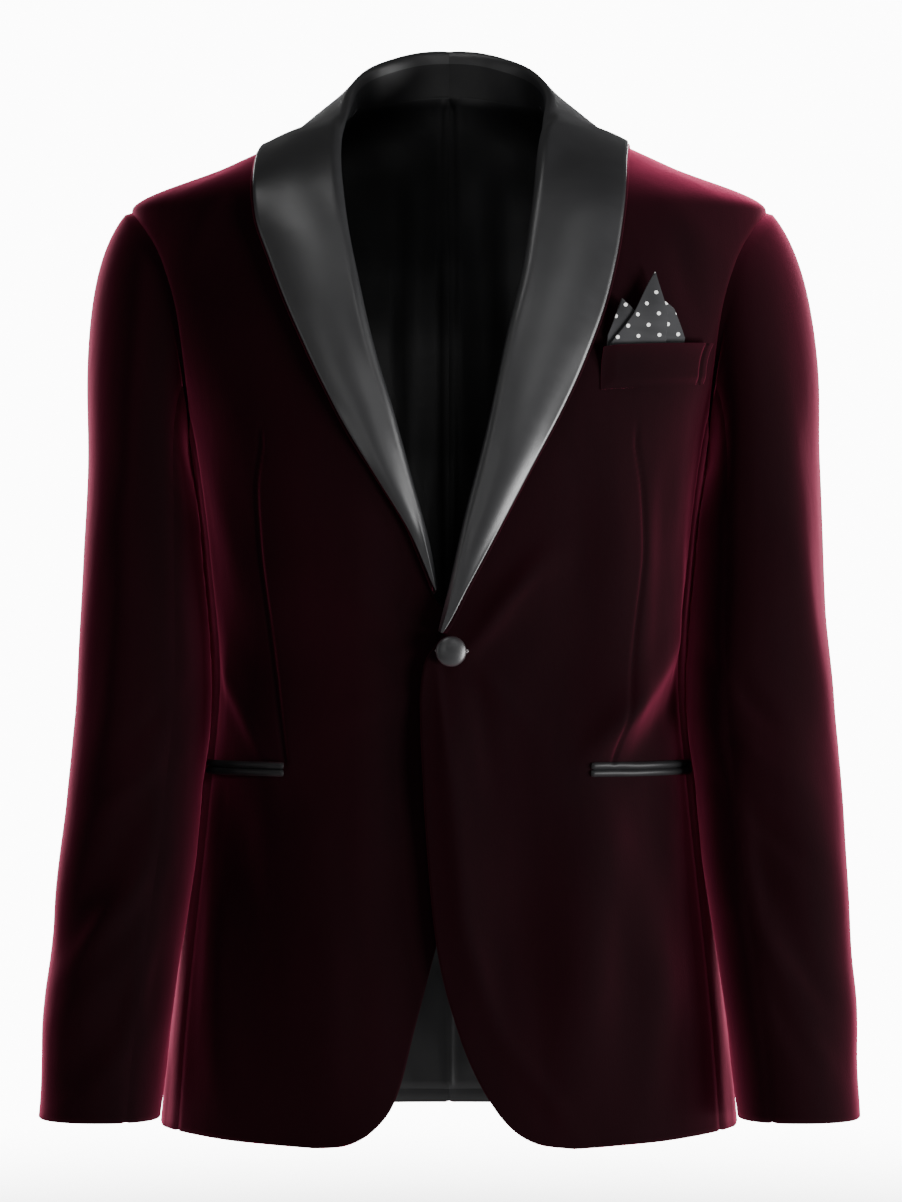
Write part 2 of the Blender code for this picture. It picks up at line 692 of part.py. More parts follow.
def sleeve_grid(side, start, end, across):
    """A sleeve panel's inside points and outward normals between two of the sleeve's seams."""
    turn = np.linspace(start, end, across)
    grid = sleeve_surface(side, turn)
    round_it = sleeve_surface(side, turn + TURN_NUDGE) - sleeve_surface(side, turn - TURN_NUDGE)
    normal = unit(np.cross(round_it, np.gradient(grid, axis=1)))
    below_cap = np.clip(np.arange(SLEEVE_ROWS) / CAP_ROWS - FOLDS_BELOW_CAP, 0, 1)[None, :]
    facing = ramp(np.sin(turn), *FOLDS_IN_FRONT)[:, None]
    off_seam = ramp(np.minimum(turn - start, end - turn), 0, FOLD_OFF_SEAM)[:, None]
    height = fold_height(f"sleeve_{side}", grid[..., 0], grid[..., 2]) * below_cap * facing * off_seam
    return grid + normal * height[..., None], normal


def make_sleeves(velvet):
    gap = SLEEVE_SEAM_TURN
    top = (BACK_SLEEVE_SEAM - 2 * math.pi + gap, FRONT_SLEEVE_SEAM - gap)
    under = (FRONT_SLEEVE_SEAM + gap, BACK_SLEEVE_SEAM - gap)
    for side in SIDES:
        for name, (start, end) in (("top", top), ("under", under)):
            inner, normal = sleeve_grid(side, start, end, SLEEVE_ACROSS[name])
            wall(f"{name}_sleeve_{side}", inner + normal * VELVET, inner, velvet, side == "right")


def collar_lines(side):
    """The roll line and the outer edge of a collar half, break to centre back."""
    roll, edge = [], []
    for row in LAPELS[side]:
        pair = (roll, row.roll_x, row.roll_z, 0.0), (edge, row.edge_x, row.edge_z, FALL_LIFT)
        for line, x, z, out in pair:
            line.append(on_front(side, np.array(x), np.array(z), out))
    for row in COLLAR_BACK:
        roll.append(np.array([row.roll_x, row.roll_y, row.roll_z]))
        edge.append(lifted(np.array([row.edge_x, row.edge_y, row.edge_z]), FALL_LIFT))
    return spline(roll, COLLAR_STATIONS), spline(edge, COLLAR_STATIONS)


def collar_sections(side):
    """A collar half's sections from its inner end, over the roll, to the outer edge."""
    roll, edge = collar_lines(side)
    share = np.linspace(0, 1, COLLAR_STATIONS)
    back = ramp(roll[:, 2], *BACK_STARTS)[:, None]
    width = np.linalg.norm(edge - roll, axis=1, keepdims=True)
    radius = np.minimum(ROLL_RADIUS, width * ROLL_SHARE)

    # The inner end lies behind the front panel and, round the neck, just above the back's neck seam
    return_width = RETURN_WIDTH * ramp(share, 0.0, RETURN_STARTS)
    return_width = return_width * (1 - (1 - NECK_RETURN) * ramp(roll[:, 2], *NECK_STARTS))
    least, most = RETURN_SHARE
    return_share = np.minimum(return_width[:, None] / width + least, most)
    angle, z = domain_of(roll + (edge - roll) * return_share)
    behind = on_form(angle, z, front_out(side, angle, z) - ROLL_RADIUS)
    neck_angle = np.arctan2(roll[:, 0], RING_CURVES["mid_y"](0.0) - roll[:, 1])
    neck_angle = np.clip(neck_angle, SIDE_ANGLE, math.pi)
    neck_z = NECK_BACK_Z * ramp(neck_angle, SIDE_ANGLE, math.pi) + NECK_SEAM_GAP
    seam = on_form(neck_angle, neck_z, -ROLL_RADIUS)
    inner = behind * (1 - back) + seam * back

    towards = unit(unit(inner - roll) + unit(edge - roll))
    aside = edge - inner
    aside = unit(aside - towards * np.sum(aside * towards, axis=1, keepdims=True))
    centre = roll + towards * radius
    rows = []
    for t in np.linspace(0, 1, STAND_STEPS, endpoint=False):
        rows.append(inner + (centre - aside * radius - inner) * t)
    for turn in np.linspace(-math.pi / 2, math.pi / 2, FOLD_STEPS, endpoint=False):
        rows.append(centre + radius * (aside * math.sin(turn) - towards * math.cos(turn)))
    start = centre + aside * radius
    swell = FALL_SWELL * ramp(share, 0.0, SWELL_STARTS)[:, None]
    for t in np.linspace(0, 1, FALL_STEPS + 1):
        place = start + (edge - start) * t + aside * swell * 4 * t * (1 - t)
        rows.append(fall_above_panel(side, place, FALL_LIFT))
    return np.stack(rows, axis=0)


def fall_above_panel(side, places, clear):
    """Points of the collar's fall, kept above the panel that they lie on."""
    angle, z = domain_of(places)
    stand_off = np.where(angle < SIDE_ANGLE, front_out(side, angle, z), 0.0)
    return lifted(places, clear + stand_off)


def section_normals(rows):
    """Normals of a collar half, outwards on its fall."""
    normal = grid_normals(rows)
    angle, z = domain_of(rows[-2])
    facing = np.sum(normal[-2] * form_normal(angle, z), axis=-1).sum()
    return normal * np.sign(facing)


def at_centre_back(rows):
    """The collar half with its last section squared off just short of the centre back."""
    squared = rows.copy()
    squared[:, -1, 0] = SEAM_GAP / 2
    squared[:, -2, 0] = np.maximum(squared[:, -2, 0], SEAM_GAP)
    return squared


def make_collar(satin, velvet):
    for side in SIDES:
        rows = collar_sections(side)
        normal = section_normals(rows)
        top = at_centre_back(rows)
        wall(f"collar_{side}", top, at_centre_back(rows - normal * SATIN), satin, side == "right")

        # The underside is the fall's own points, moved in, and shows a little past its edge
        last = slice(-FALL_STEPS - 1, None)
        fall = rows[last] - normal[last] * (SATIN + UNDER_GAP)
        fall[-1] += unit(fall[-1] - fall[-2]) * UNDER_EDGE
        fall[0] += unit(fall[1] - fall[0]) * UNDER_START
        lower = fall - normal[last] * UNDER_THICKNESS
        fall, lower = at_centre_back(fall[:, 1:]), at_centre_back(lower[:, 1:])
        wall(f"undercollar_{side}", fall, lower, velvet, side == "right")


def on_front(side, x, z, out):
    """Points on a front panel by front-view place, moved out."""
    x, z = np.broadcast_arrays(x, z)
    angle = angle_at(x, z)
    return on_form(angle, z, out + front_out(side, angle, z))


def make_breast_pocket(velvet, square):
    welt = BREAST_WELT
    across = np.linspace(0, 1, WELT_GRID[0])[:, None]
    down = np.linspace(0, 1, WELT_GRID[1])[None, :]
    x = welt.x0 + (welt.x1 - welt.x0) * across + 0 * down
    z = welt.top_z0 + (welt.top_z1 - welt.top_z0) * across - welt.height * down
    low = LAYER_GAP + (1 - down) * POCKET_MOUTH
    wall("breast_welt", on_front("left", x, z, low + welt.thickness), on_front("left", x, z, low), velvet)
    for name, peaks in SQUARE_PEAKS.items():
        outline = along(peaks, SQUARE_STEPS * (len(peaks) - 1) + 1)
        up = np.linspace(0, 1, SQUARE_ROWS)[None, :]
        base = np.linspace(peaks[0].x, peaks[-1].x, len(outline))[:, None]
        x = base + (outline[:, :1] - base) * up
        z = SQUARE_BASE_Z + (outline[:, 1:] - SQUARE_BASE_Z) * up
        rise = (z - SQUARE_BASE_Z) / SQUARE_HEIGHT
        ripple = SQUARE_RIPPLE * np.sin(2 * math.pi * x / SQUARE_RIPPLE_PITCH)
        low = SQUARE_LIFTS[name] + rise * (ripple + SQUARE_LEAN * rise)
        wall(f"pocket_square_{name}", on_front("left", x, z, low + SQUARE_THICKNESS),
             on_front("left", x, z, low), square)


def make_hip_pockets(satin):
    for side in SIDES:
        start = float(angle_at(np.array(JET_FRONT_X[side]), np.array(JET_Z)))
        angle = np.linspace(start, JET_BACK_ANGLE, JET_ACROSS)[:, None]
        for name, low, high in (("upper", JET_GAP / 2, JET_HEIGHT), ("lower", -JET_HEIGHT, -JET_GAP / 2)):
            z = JET_Z + np.linspace(low, high, len(JET_BELLY))[None, :]
            stand_off = np.where(angle < FRONT_SEAM(z), front_out(side, angle, z), 0.0)
            outer = on_form(angle, z, stand_off + LAYER_GAP + JET_THICKNESS * np.array([JET_BELLY]))
            inner = on_form(angle, z, stand_off + LAYER_GAP)
            wall(f"hip_jet_{name}_{side}", outer, inner, satin, side == "right")


def make_button(satin):
    """The covered button: a shallow dome turned about the normal of the left front."""
    mesh = bmesh.new()
    profile = [(0.0, 0.0, 0.0), (BUTTON_RADIUS * BUTTON_FOOT, 0.0, 0.0)]
    for t in np.linspace(0, math.pi / 2, BUTTON_STEPS, endpoint=False):
        height = BUTTON_HEIGHT * (BUTTON_RIM + (1 - BUTTON_RIM) * math.sin(t))
        profile.append((BUTTON_RADIUS * math.cos(t), 0.0, height))
    profile.append((0.0, 0.0, BUTTON_HEIGHT))
    verts = [mesh.verts.new(p) for p in profile]
    edges = [mesh.edges.new(pair) for pair in zip(verts, verts[1:])]
    turned = {"cent": (0, 0, 0), "axis": (0, 0, 1), "angle": 2 * math.pi, "steps": BUTTON_TURNS}
    bmesh.ops.spin(mesh, geom=verts + edges, **turned)
    bmesh.ops.remove_doubles(mesh, verts=mesh.verts, dist=1e-6)
    made = finished("button", mesh, satin)
    place = on_front("left", np.array(BUTTON_X), np.array(BUTTON_Z), BUTTON_STANDS_OFF)
    normal = form_normal(angle_at(np.array(BUTTON_X), np.array(BUTTON_Z)), np.array(BUTTON_Z))
    facing = Vector(normal).to_track_quat("Z", "Y").to_matrix().to_4x4()
    made.matrix_world = Matrix.Translation(Vector(place)) @ Matrix.Rotation(BUTTON_TILT, 4, "Z") @ facing


def clear_scene():
    for old in list(bpy.data.objects):
        bpy.data.objects.remove(old)


def main():
    clear_scene()
    velvet = material("burgundy_velvet")
    satin = material("black_satin")
    make_body(velvet, material("black_lining"))
    make_sleeves(velvet)
    make_collar(satin, velvet)
    make_breast_pocket(velvet, material("dotted_cotton"))
    make_hip_pockets(satin)
    make_button(satin)


main()
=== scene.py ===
"""Looks of the shawl-collar tuxedo jacket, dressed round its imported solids.

Metres, +Z up. The wearer faces -Y and the wearer's left is +X. Each cloth piece is a thin closed
shell on the same torso form, seams and roll lines as its solid, with a finer grid, its smaller
creases, its sewn seams and its own procedural cloth. The right side is worked out with +X outwards
and then mirrored.
"""

import math
from collections import namedtuple

import bmesh
import bpy
import numpy as np
from mathutils import Matrix, Vector


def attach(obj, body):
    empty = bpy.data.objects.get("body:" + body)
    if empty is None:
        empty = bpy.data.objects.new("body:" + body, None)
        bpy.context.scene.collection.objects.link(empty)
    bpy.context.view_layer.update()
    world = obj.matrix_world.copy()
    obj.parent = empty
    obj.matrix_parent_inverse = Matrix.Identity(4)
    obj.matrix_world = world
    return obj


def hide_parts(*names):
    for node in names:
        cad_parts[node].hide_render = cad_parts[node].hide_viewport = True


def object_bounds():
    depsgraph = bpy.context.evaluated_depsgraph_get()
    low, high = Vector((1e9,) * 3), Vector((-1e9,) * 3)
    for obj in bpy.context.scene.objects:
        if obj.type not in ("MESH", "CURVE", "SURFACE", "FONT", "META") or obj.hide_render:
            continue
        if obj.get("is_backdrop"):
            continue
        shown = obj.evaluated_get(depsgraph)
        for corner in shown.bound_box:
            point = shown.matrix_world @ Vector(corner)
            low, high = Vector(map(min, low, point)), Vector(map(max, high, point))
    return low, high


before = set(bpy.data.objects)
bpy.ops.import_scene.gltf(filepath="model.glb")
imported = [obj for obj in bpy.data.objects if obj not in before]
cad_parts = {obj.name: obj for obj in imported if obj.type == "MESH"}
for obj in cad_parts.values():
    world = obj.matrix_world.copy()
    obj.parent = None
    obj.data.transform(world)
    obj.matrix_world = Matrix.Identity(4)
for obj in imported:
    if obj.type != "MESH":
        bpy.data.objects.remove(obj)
CAD_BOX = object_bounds()

# Cloth thicknesses and the gaps between layers
VELVET = 0.0020
SATIN = 0.0012
LINING = 0.0008
LAYER_GAP = 0.0008

# Torso form: half width, depth forward and back of mid_y, and squareness of each level ring
Ring = namedtuple("Ring", "z half_width front back mid_y square")
RINGS = [
    Ring(0.030, 0.060, 0.052, 0.058, 0.014, 2.00),
    Ring(0.012, 0.066, 0.058, 0.066, 0.013, 2.05),
    Ring(0.000, 0.072, 0.064, 0.076, 0.012, 2.10),
    Ring(-0.020, 0.115, 0.080, 0.088, 0.012, 2.15),
    Ring(-0.040, 0.158, 0.094, 0.098, 0.011, 2.20),
    Ring(-0.072, 0.226, 0.108, 0.108, 0.009, 2.30),
    Ring(-0.110, 0.221, 0.119, 0.118, 0.006, 2.35),
    Ring(-0.160, 0.207, 0.130, 0.124, 0.003, 2.40),
    Ring(-0.235, 0.184, 0.136, 0.124, 0.000, 2.40),
    Ring(-0.320, 0.174, 0.132, 0.112, 0.000, 2.40),
    Ring(-0.400, 0.169, 0.126, 0.104, 0.000, 2.35),
    Ring(-0.480, 0.177, 0.127, 0.110, 0.000, 2.35),
    Ring(-0.560, 0.187, 0.130, 0.121, 0.000, 2.35),
    Ring(-0.640, 0.197, 0.132, 0.128, 0.000, 2.35),
    Ring(-0.760, 0.208, 0.134, 0.134, 0.000, 2.35),
]

# Seams on the form, as angles round it from the front (0) to the centre back (180 degrees)
SHOULDER_TIP_Z = -0.072
NECK_POINT_TURN = 0.10
NECK_POINT_Z = -0.0015
NECK_BACK_Z = 0.012
SIDE_ANGLE = math.radians(90)
Seam = namedtuple("Seam", "z front_angle back_angle")
SIDE_SEAMS = [
    Seam(-0.200, 77.0, 107.0),
    Seam(-0.400, 73.0, 112.0),
    Seam(-0.760, 72.0, 114.0),
]

# Armhole: an oval on the form, its top at the shoulder tip
ARMHOLE_BOTTOM_Z = -0.238
ARMHOLE_FRONT = math.radians(19)
ARMHOLE_BACK = math.radians(22)
ARMHOLE_MIDDLE_Z = (SHOULDER_TIP_Z + ARMHOLE_BOTTOM_Z) / 2
ARMHOLE_HALF_Z = (SHOULDER_TIP_Z - ARMHOLE_BOTTOM_Z) / 2

# Hem height round the form, by angle in degrees
Hem = namedtuple("Hem", "angle z")
HEM = [Hem(0, -0.7240), Hem(30, -0.7235), Hem(52, -0.7205), Hem(75, -0.7165), Hem(180, -0.7160)]

# Front edges below the break, from the break down round the cutaway to the hem
Edge = namedtuple("Edge", "x z")
FRONT_EDGES = {
    "left": [
        Edge(-0.0090, -0.3700),
        Edge(-0.0165, -0.3920),
        Edge(-0.0190, -0.4160),
        Edge(-0.0170, -0.4700),
        Edge(-0.0130, -0.5320),
        Edge(-0.0070, -0.5870),
        Edge(0.0105, -0.6520),
        Edge(0.0315, -0.6940),
        Edge(0.0490, -0.7130),
        Edge(0.0650, -0.7205),
        Edge(0.0850, -0.7232),
    ],
    "right": [
        Edge(-0.0130, -0.3700),
        Edge(-0.0185, -0.3920),
        Edge(-0.0185, -0.4300),
        Edge(-0.0150, -0.4800),
        Edge(-0.0040, -0.5400),
        Edge(0.0085, -0.5800),
        Edge(0.0240, -0.6380),
        Edge(0.0395, -0.6930),
        Edge(0.0590, -0.7150),
        Edge(0.0745, -0.7215),
        Edge(0.0930, -0.7232),
    ],
}

# Lapels in front view, from the break up to the side of the neck: roll line and outer edge
Lapel = namedtuple("Lapel", "roll_x roll_z edge_x edge_z")
LAPELS = {
    "left": [
        Lapel(-0.0075, -0.3680, -0.0040, -0.3690),
        Lapel(-0.0012, -0.3400, 0.0130, -0.3370),
        Lapel(0.0092, -0.2930, 0.0540, -0.2600),
        Lapel(0.0245, -0.2330, 0.0925, -0.1810),
        Lapel(0.0400, -0.1600, 0.1095, -0.1320),
        Lapel(0.0505, -0.1150, 0.1165, -0.1000),
        Lapel(0.0575, -0.0680, 0.1210, -0.0680),
        Lapel(0.0620, -0.0280, 0.1225, -0.0420),
    ],
    "right": [
        Lapel(0.0075, -0.3400, 0.0090, -0.3410),
        Lapel(0.0130, -0.3080, 0.0240, -0.3060),
        Lapel(0.0240, -0.2680, 0.0510, -0.2600),
        Lapel(0.0375, -0.2180, 0.0790, -0.2110),
        Lapel(0.0500, -0.1760, 0.1010, -0.1650),
        Lapel(0.0600, -0.1330, 0.1220, -0.1140),
        Lapel(0.0700, -0.0820, 0.1330, -0.0800),
        Lapel(0.0750, -0.0330, 0.1345, -0.0480),
    ],
}

# Collar round the neck, from the shoulder to the centre back, the same on both sides
Collar = namedtuple("Collar", "roll_x roll_y roll_z edge_x edge_y edge_z")
COLLAR_BACK = [
    Collar(0.0715, -0.0020, 0.0100, 0.1240, 0.0200, -0.0230),
    Collar(0.0610, 0.0380, 0.0320, 0.0990, 0.0760, -0.0150),
    Collar(0.0390, 0.0640, 0.0450, 0.0600, 0.1010, -0.0010),
    Collar(0.0150, 0.0765, 0.0513, 0.0230, 0.1073, 0.0055),
    Collar(0.0000, 0.0790, 0.0520, 0.0000, 0.1080, 0.0060),
]
ROLL_RADIUS = 0.0042
RETURN_WIDTH = 0.016
PANEL_INSET = 0.0070
INSET_STARTS = (-0.392, -0.366)
ROLL_ABOVE_BREAK = 0.020
NECK_INSET = 0.0070
NECK_STARTS = (-0.085, -0.040)
NECK_RETURN = 0.15
RETURN_STARTS = 0.15
RETURN_SHARE = (0.10, 0.80)
BACK_STARTS = (-0.020, 0.012)
SWELL_STARTS = 0.20
FALL_LIFT = 0.0046
FALL_SWELL = 0.0040
ROLL_SHARE = 0.30
NECK_SEAM_GAP = 0.004
UNDER_EDGE = 0.0024
UNDER_GAP = 0.0006
UNDER_THICKNESS = 0.0010

# The left front laps over the right one, which sinks inwards towards the middle
LAP_DEPTH = 0.0065
LAP_START_X = 0.065
LAP_FULL_X = 0.022

# Sleeves, level by level: outer reach of each, reach towards the body, depth and its middle
Sleeve = namedtuple("Sleeve", "z outer_left outer_right inner half_depth mid_y")
SLEEVES = [
    Sleeve(-0.300, 0.2635, 0.2545, 0.171, 0.067, -0.012),
    Sleeve(-0.404, 0.2680, 0.2600, 0.168, 0.061, -0.030),
    Sleeve(-0.489, 0.2735, 0.2660, 0.175, 0.057, -0.044),
    Sleeve(-0.560, 0.2765, 0.2745, 0.184, 0.054, -0.054),
    Sleeve(-0.631, 0.2825, 0.2800, 0.194, 0.052, -0.061),
    Sleeve(-0.706, 0.2845, 0.2840, 0.203, 0.050, -0.066),
]
SLEEVE_SQUARE = 2.2
SLEEVE_FALL_STEP = 0.020
SLEEVE_CLEARANCE = 0.0048
ARMHOLE_GAP = 0.0008
UNDERARM_GAP = 0.0006
BESIDE_ARMHOLE = (0.90, 1.00)
CLEAR_OF_ARMHOLE = (1.02, 1.35)
CAP_LEAVES_TOP = (0.65, 0.0, -0.76)
CAP_LEAVES_UNDER = (0.35, 0.0, -0.90)
CAP_BULGE = 0.50
CAP_FULLNESS = 0.80
CAP_FALL = 1.05
FRONT_SLEEVE_SEAM = math.radians(118)
BACK_SLEEVE_SEAM = math.radians(252)

# Folds of each piece: a ridge (or, with a negative height, a trough) from one end to the other
Fold = namedtuple("Fold", "x0 z0 x1 z1 width height")
FOLDS = {
    "left": [
        Fold(0.020, -0.372, 0.075, -0.315, 0.012, 0.0030),
        Fold(0.000, -0.420, 0.016, -0.640, 0.016, 0.0040),
        Fold(0.045, -0.430, 0.050, -0.600, 0.024, -0.0035),
        Fold(0.160, -0.330, 0.105, -0.455, 0.020, 0.0040),
        Fold(0.100, -0.560, 0.085, -0.680, 0.026, 0.0030),
        Fold(0.156, -0.372, 0.102, -0.446, 0.0105, 0.0084),
        Fold(0.172, -0.400, 0.122, -0.462, 0.010, -0.0036),
        Fold(0.140, -0.262, 0.121, -0.440, 0.0060, 0.0013),
        Fold(-0.003, -0.440, 0.009, -0.560, 0.0080, 0.0024),
        Fold(0.010, -0.570, 0.034, -0.645, 0.0080, 0.0024),
        Fold(0.040, -0.652, 0.082, -0.706, 0.0080, 0.0020),
        Fold(0.100, -0.490, 0.094, -0.640, 0.026, 0.0075),
        Fold(0.124, -0.290, 0.113, -0.440, 0.024, 0.0080),
        Fold(0.168, -0.300, 0.148, -0.372, 0.012, 0.0026),
        Fold(-0.009, -0.388, -0.003, -0.445, 0.0034, 0.0014),
        Fold(0.014, -0.380, 0.056, -0.326, 0.0075, 0.0044),
        Fold(0.094, -0.250, 0.086, -0.345, 0.016, -0.0022),
        Fold(0.120, -0.520, 0.150, -0.640, 0.018, 0.0042),
        Fold(0.014, -0.388, 0.052, -0.430, 0.007, 0.0016),
        Fold(0.026, -0.362, 0.060, -0.338, 0.006, -0.0012),
        Fold(0.018, -0.400, 0.030, -0.470, 0.008, -0.0016),
        Fold(0.150, -0.380, 0.096, -0.440, 0.008, -0.0016),
        Fold(0.158, -0.470, 0.150, -0.560, 0.012, 0.0020),
        Fold(0.130, -0.480, 0.112, -0.640, 0.014, -0.0018),
        Fold(0.148, -0.585, 0.136, -0.700, 0.014, 0.0022),
        Fold(0.060, -0.600, 0.066, -0.700, 0.013, -0.0016),
        Fold(0.165, -0.255, 0.150, -0.320, 0.009, 0.0016),
        Fold(0.160, -0.105, 0.172, -0.150, 0.010, -0.0016),
        Fold(0.142, -0.060, 0.180, -0.105, 0.014, 0.0018),
    ],
    "right": [
        Fold(0.165, -0.370, 0.118, -0.465, 0.014, 0.0030),
        Fold(0.150, -0.480, 0.130, -0.660, 0.018, -0.0040),
        Fold(0.1605, -0.3885, 0.124, -0.4605, 0.0055, 0.0024),
        Fold(0.000, -0.392, 0.058, -0.352, 0.010, 0.0020),
        Fold(0.010, -0.410, 0.072, -0.424, 0.010, 0.0016),
        Fold(0.026, -0.430, 0.040, -0.560, 0.016, -0.0020),
        Fold(0.158, -0.400, 0.112, -0.478, 0.008, -0.0016),
        Fold(0.164, -0.255, 0.148, -0.330, 0.010, 0.0018),
        Fold(0.090, -0.500, 0.078, -0.680, 0.018, 0.0022),
        Fold(0.060, -0.585, 0.062, -0.690, 0.014, -0.0016),
        Fold(0.164, -0.560, 0.160, -0.690, 0.012, 0.0022),
        Fold(0.152, -0.060, 0.186, -0.110, 0.014, 0.0018),
    ],
    "sleeve_left": [
        Fold(0.252, -0.215, 0.266, -0.385, 0.012, -0.0035),
        Fold(0.205, -0.510, 0.274, -0.670, 0.014, -0.0045),
        Fold(0.232, -0.440, 0.270, -0.580, 0.016, 0.0035),
        Fold(0.228, -0.135, 0.238, -0.260, 0.010, 0.0018),
        Fold(0.240, -0.300, 0.258, -0.430, 0.010, 0.0020),
        Fold(0.186, -0.392, 0.226, -0.436, 0.007, -0.0022),
        Fold(0.190, -0.440, 0.236, -0.474, 0.008, 0.0020),
        Fold(0.192, -0.478, 0.246, -0.530, 0.008, -0.0024),
        Fold(0.208, -0.570, 0.262, -0.640, 0.008, 0.0022),
        Fold(0.216, -0.612, 0.250, -0.668, 0.008, -0.0020),
    ],
    "sleeve_right": [
        Fold(0.212, -0.490, 0.266, -0.590, 0.014, -0.0045),
        Fold(0.205, -0.600, 0.268, -0.690, 0.014, -0.0035),
        Fold(0.222, -0.550, 0.270, -0.640, 0.014, 0.0030),
        Fold(0.226, -0.140, 0.236, -0.280, 0.012, -0.0020),
        Fold(0.236, -0.310, 0.250, -0.450, 0.011, -0.0022),
        Fold(0.184, -0.410, 0.222, -0.446, 0.007, -0.0022),
        Fold(0.190, -0.452, 0.238, -0.492, 0.007, 0.0020),
        Fold(0.200, -0.528, 0.250, -0.584, 0.007, 0.0020),
        Fold(0.206, -0.560, 0.262, -0.618, 0.008, -0.0022),
        Fold(0.214, -0.650, 0.262, -0.694, 0.008, 0.0016),
    ],
    "elbow_left": [
        Fold(0.200, -0.385, 0.262, -0.420, 0.010, -0.0024),
        Fold(0.196, -0.430, 0.258, -0.446, 0.008, 0.0024),
        Fold(0.206, -0.470, 0.266, -0.520, 0.011, -0.0024),
        Fold(0.214, -0.560, 0.258, -0.660, 0.014, -0.0020),
    ],
    "elbow_right": [
        Fold(0.198, -0.400, 0.254, -0.424, 0.010, -0.0022),
        Fold(0.204, -0.438, 0.252, -0.470, 0.009, 0.0024),
        Fold(0.210, -0.500, 0.262, -0.536, 0.011, -0.0022),
        Fold(0.222, -0.580, 0.240, -0.680, 0.014, 0.0018),
    ],
    "back_left": [
        Fold(0.150, -0.130, 0.120, -0.290, 0.016, 0.0028),
        Fold(0.060, -0.060, 0.120, -0.095, 0.018, 0.0018),
        Fold(0.132, -0.350, 0.050, -0.395, 0.012, 0.0024),
        Fold(0.126, -0.400, 0.060, -0.425, 0.011, -0.0020),
        Fold(0.090, -0.500, 0.112, -0.690, 0.022, 0.0026),
    ],
    "back_right": [
        Fold(0.146, -0.140, 0.112, -0.310, 0.017, 0.0026),
        Fold(0.052, -0.050, 0.110, -0.080, 0.016, 0.0016),
        Fold(0.128, -0.368, 0.066, -0.405, 0.011, 0.0024),
        Fold(0.120, -0.428, 0.040, -0.440, 0.012, -0.0018),
        Fold(0.070, -0.520, 0.100, -0.700, 0.020, 0.0024),
    ],
    "lining": [
        Fold(0.022, -0.030, 0.030, -0.330, 0.012, 0.0022),
        Fold(0.060, -0.060, 0.052, -0.300, 0.014, -0.0020),
        Fold(0.016, -0.560, 0.060, -0.690, 0.010, 0.0026),
        Fold(0.050, -0.600, 0.012, -0.690, 0.009, -0.0022),
    ],
}
FOLD_FADE = 0.035
FOLD_OFF_SEAM = 0.30
FOLDS_BELOW_CAP = (0.15, 1.0)
FOLDS_OFF_RIM = 0.35
FOLDS_IN_FRONT = (-0.35, 0.25)
FRONT_FOLD_OFF_SEAM = 0.12
FRONT_FOLDS_FACE = (0.10, 0.35)
TURN_NUDGE = 0.01

# Pockets, square and button
Welt = namedtuple("Welt", "x0 x1 top_z0 top_z1 height thickness")
BREAST_WELT = Welt(0.1040, 0.1765, -0.1745, -0.1690, 0.0285, 0.0022)
JET_Z = -0.4640
JET_HEIGHT = 0.0044
JET_GAP = 0.0012
JET_THICKNESS = 0.0018
JET_ROUND = (0.15, 0.85)
JET_FRONT_X = {"left": 0.0975, "right": 0.1140}
JET_BACK_ANGLE = math.radians(74.5)
Peak = namedtuple("Peak", "x z")
SQUARE_PEAKS = {
    "front": [
        Peak(0.1095, -0.1720),
        Peak(0.1240, -0.1520),
        Peak(0.1395, -0.1225),
        Peak(0.1470, -0.1500),
    ],
    "back": [
        Peak(0.1080, -0.1660),
        Peak(0.1170, -0.1415),
        Peak(0.1260, -0.1500),
        Peak(0.1400, -0.1380),
        Peak(0.1530, -0.1470),
        Peak(0.1610, -0.1660),
    ],
}
SQUARE_BASE_Z = -0.181
SQUARE_LIFTS = {"front": 0.0030, "back": 0.0008}
SQUARE_RIPPLE = 0.0010
SQUARE_RIPPLE_PITCH = 0.0230
SQUARE_HEIGHT = 0.0590
SQUARE_LEAN = 0.0040
POCKET_MOUTH = 0.0070
SQUARE_THICKNESS = 0.0012
BUTTON_X = 0.0014
BUTTON_Z = -0.3820
BUTTON_RADIUS = 0.0105
BUTTON_HEIGHT = 0.0058
BUTTON_TURNS = 72
BUTTON_STANDS_OFF = 0.0035
BUTTON_RINGS = 18
BUTTON_UNDERCUT = -0.5
BUTTON_RIM = 0.33

# Points that lines are worked out with before they are spaced evenly
LINE_POINTS = 120
SEAM_POINTS = 60
ARMHOLE_POINTS = 80
SPLINE_POINTS = 40
LIFT_PASSES = 4
ANGLE_NUDGE = 1e-3
HEIGHT_NUDGE = 5e-4
TURN_POINTS = 400
SWEEP = np.radians(np.linspace(-30, 89.5, 480))

# Slow waves that keep the velvet from lying dead flat
Wave = namedtuple("Wave", "x_rate z_rate phase height")
WAVES = [
    Wave(46.0, 13.0, 0.4, 0.00045),
    Wave(-28.0, 35.0, 1.9, 0.00040),
    Wave(83.0, -52.0, 3.1, 0.00020),
    Wave(17.0, 71.0, 5.0, 0.00018),
]
WAVE_PHASES = {"side": 2.0, "back": 4.0, "lining": 1.0, "sleeve": 3.0}

# Sewn lines: seams sink and pucker a little, and each front has a dart from chest to hip pocket
SEAM_DEPTH = 0.0006
SEAM_WIDTH = 0.0036
PUCKER = 0.15
PUCKER_PITCH = 0.017
Dart = namedtuple("Dart", "x z")
DART = [
    Dart(0.1290, -0.2410),
    Dart(0.1325, -0.2720),
    Dart(0.1310, -0.3060),
    Dart(0.1242, -0.3610),
    Dart(0.1120, -0.4580),
]
DART_DEPTH = 0.0016
DART_WIDTH = 0.0015
DART_FADE = 0.020

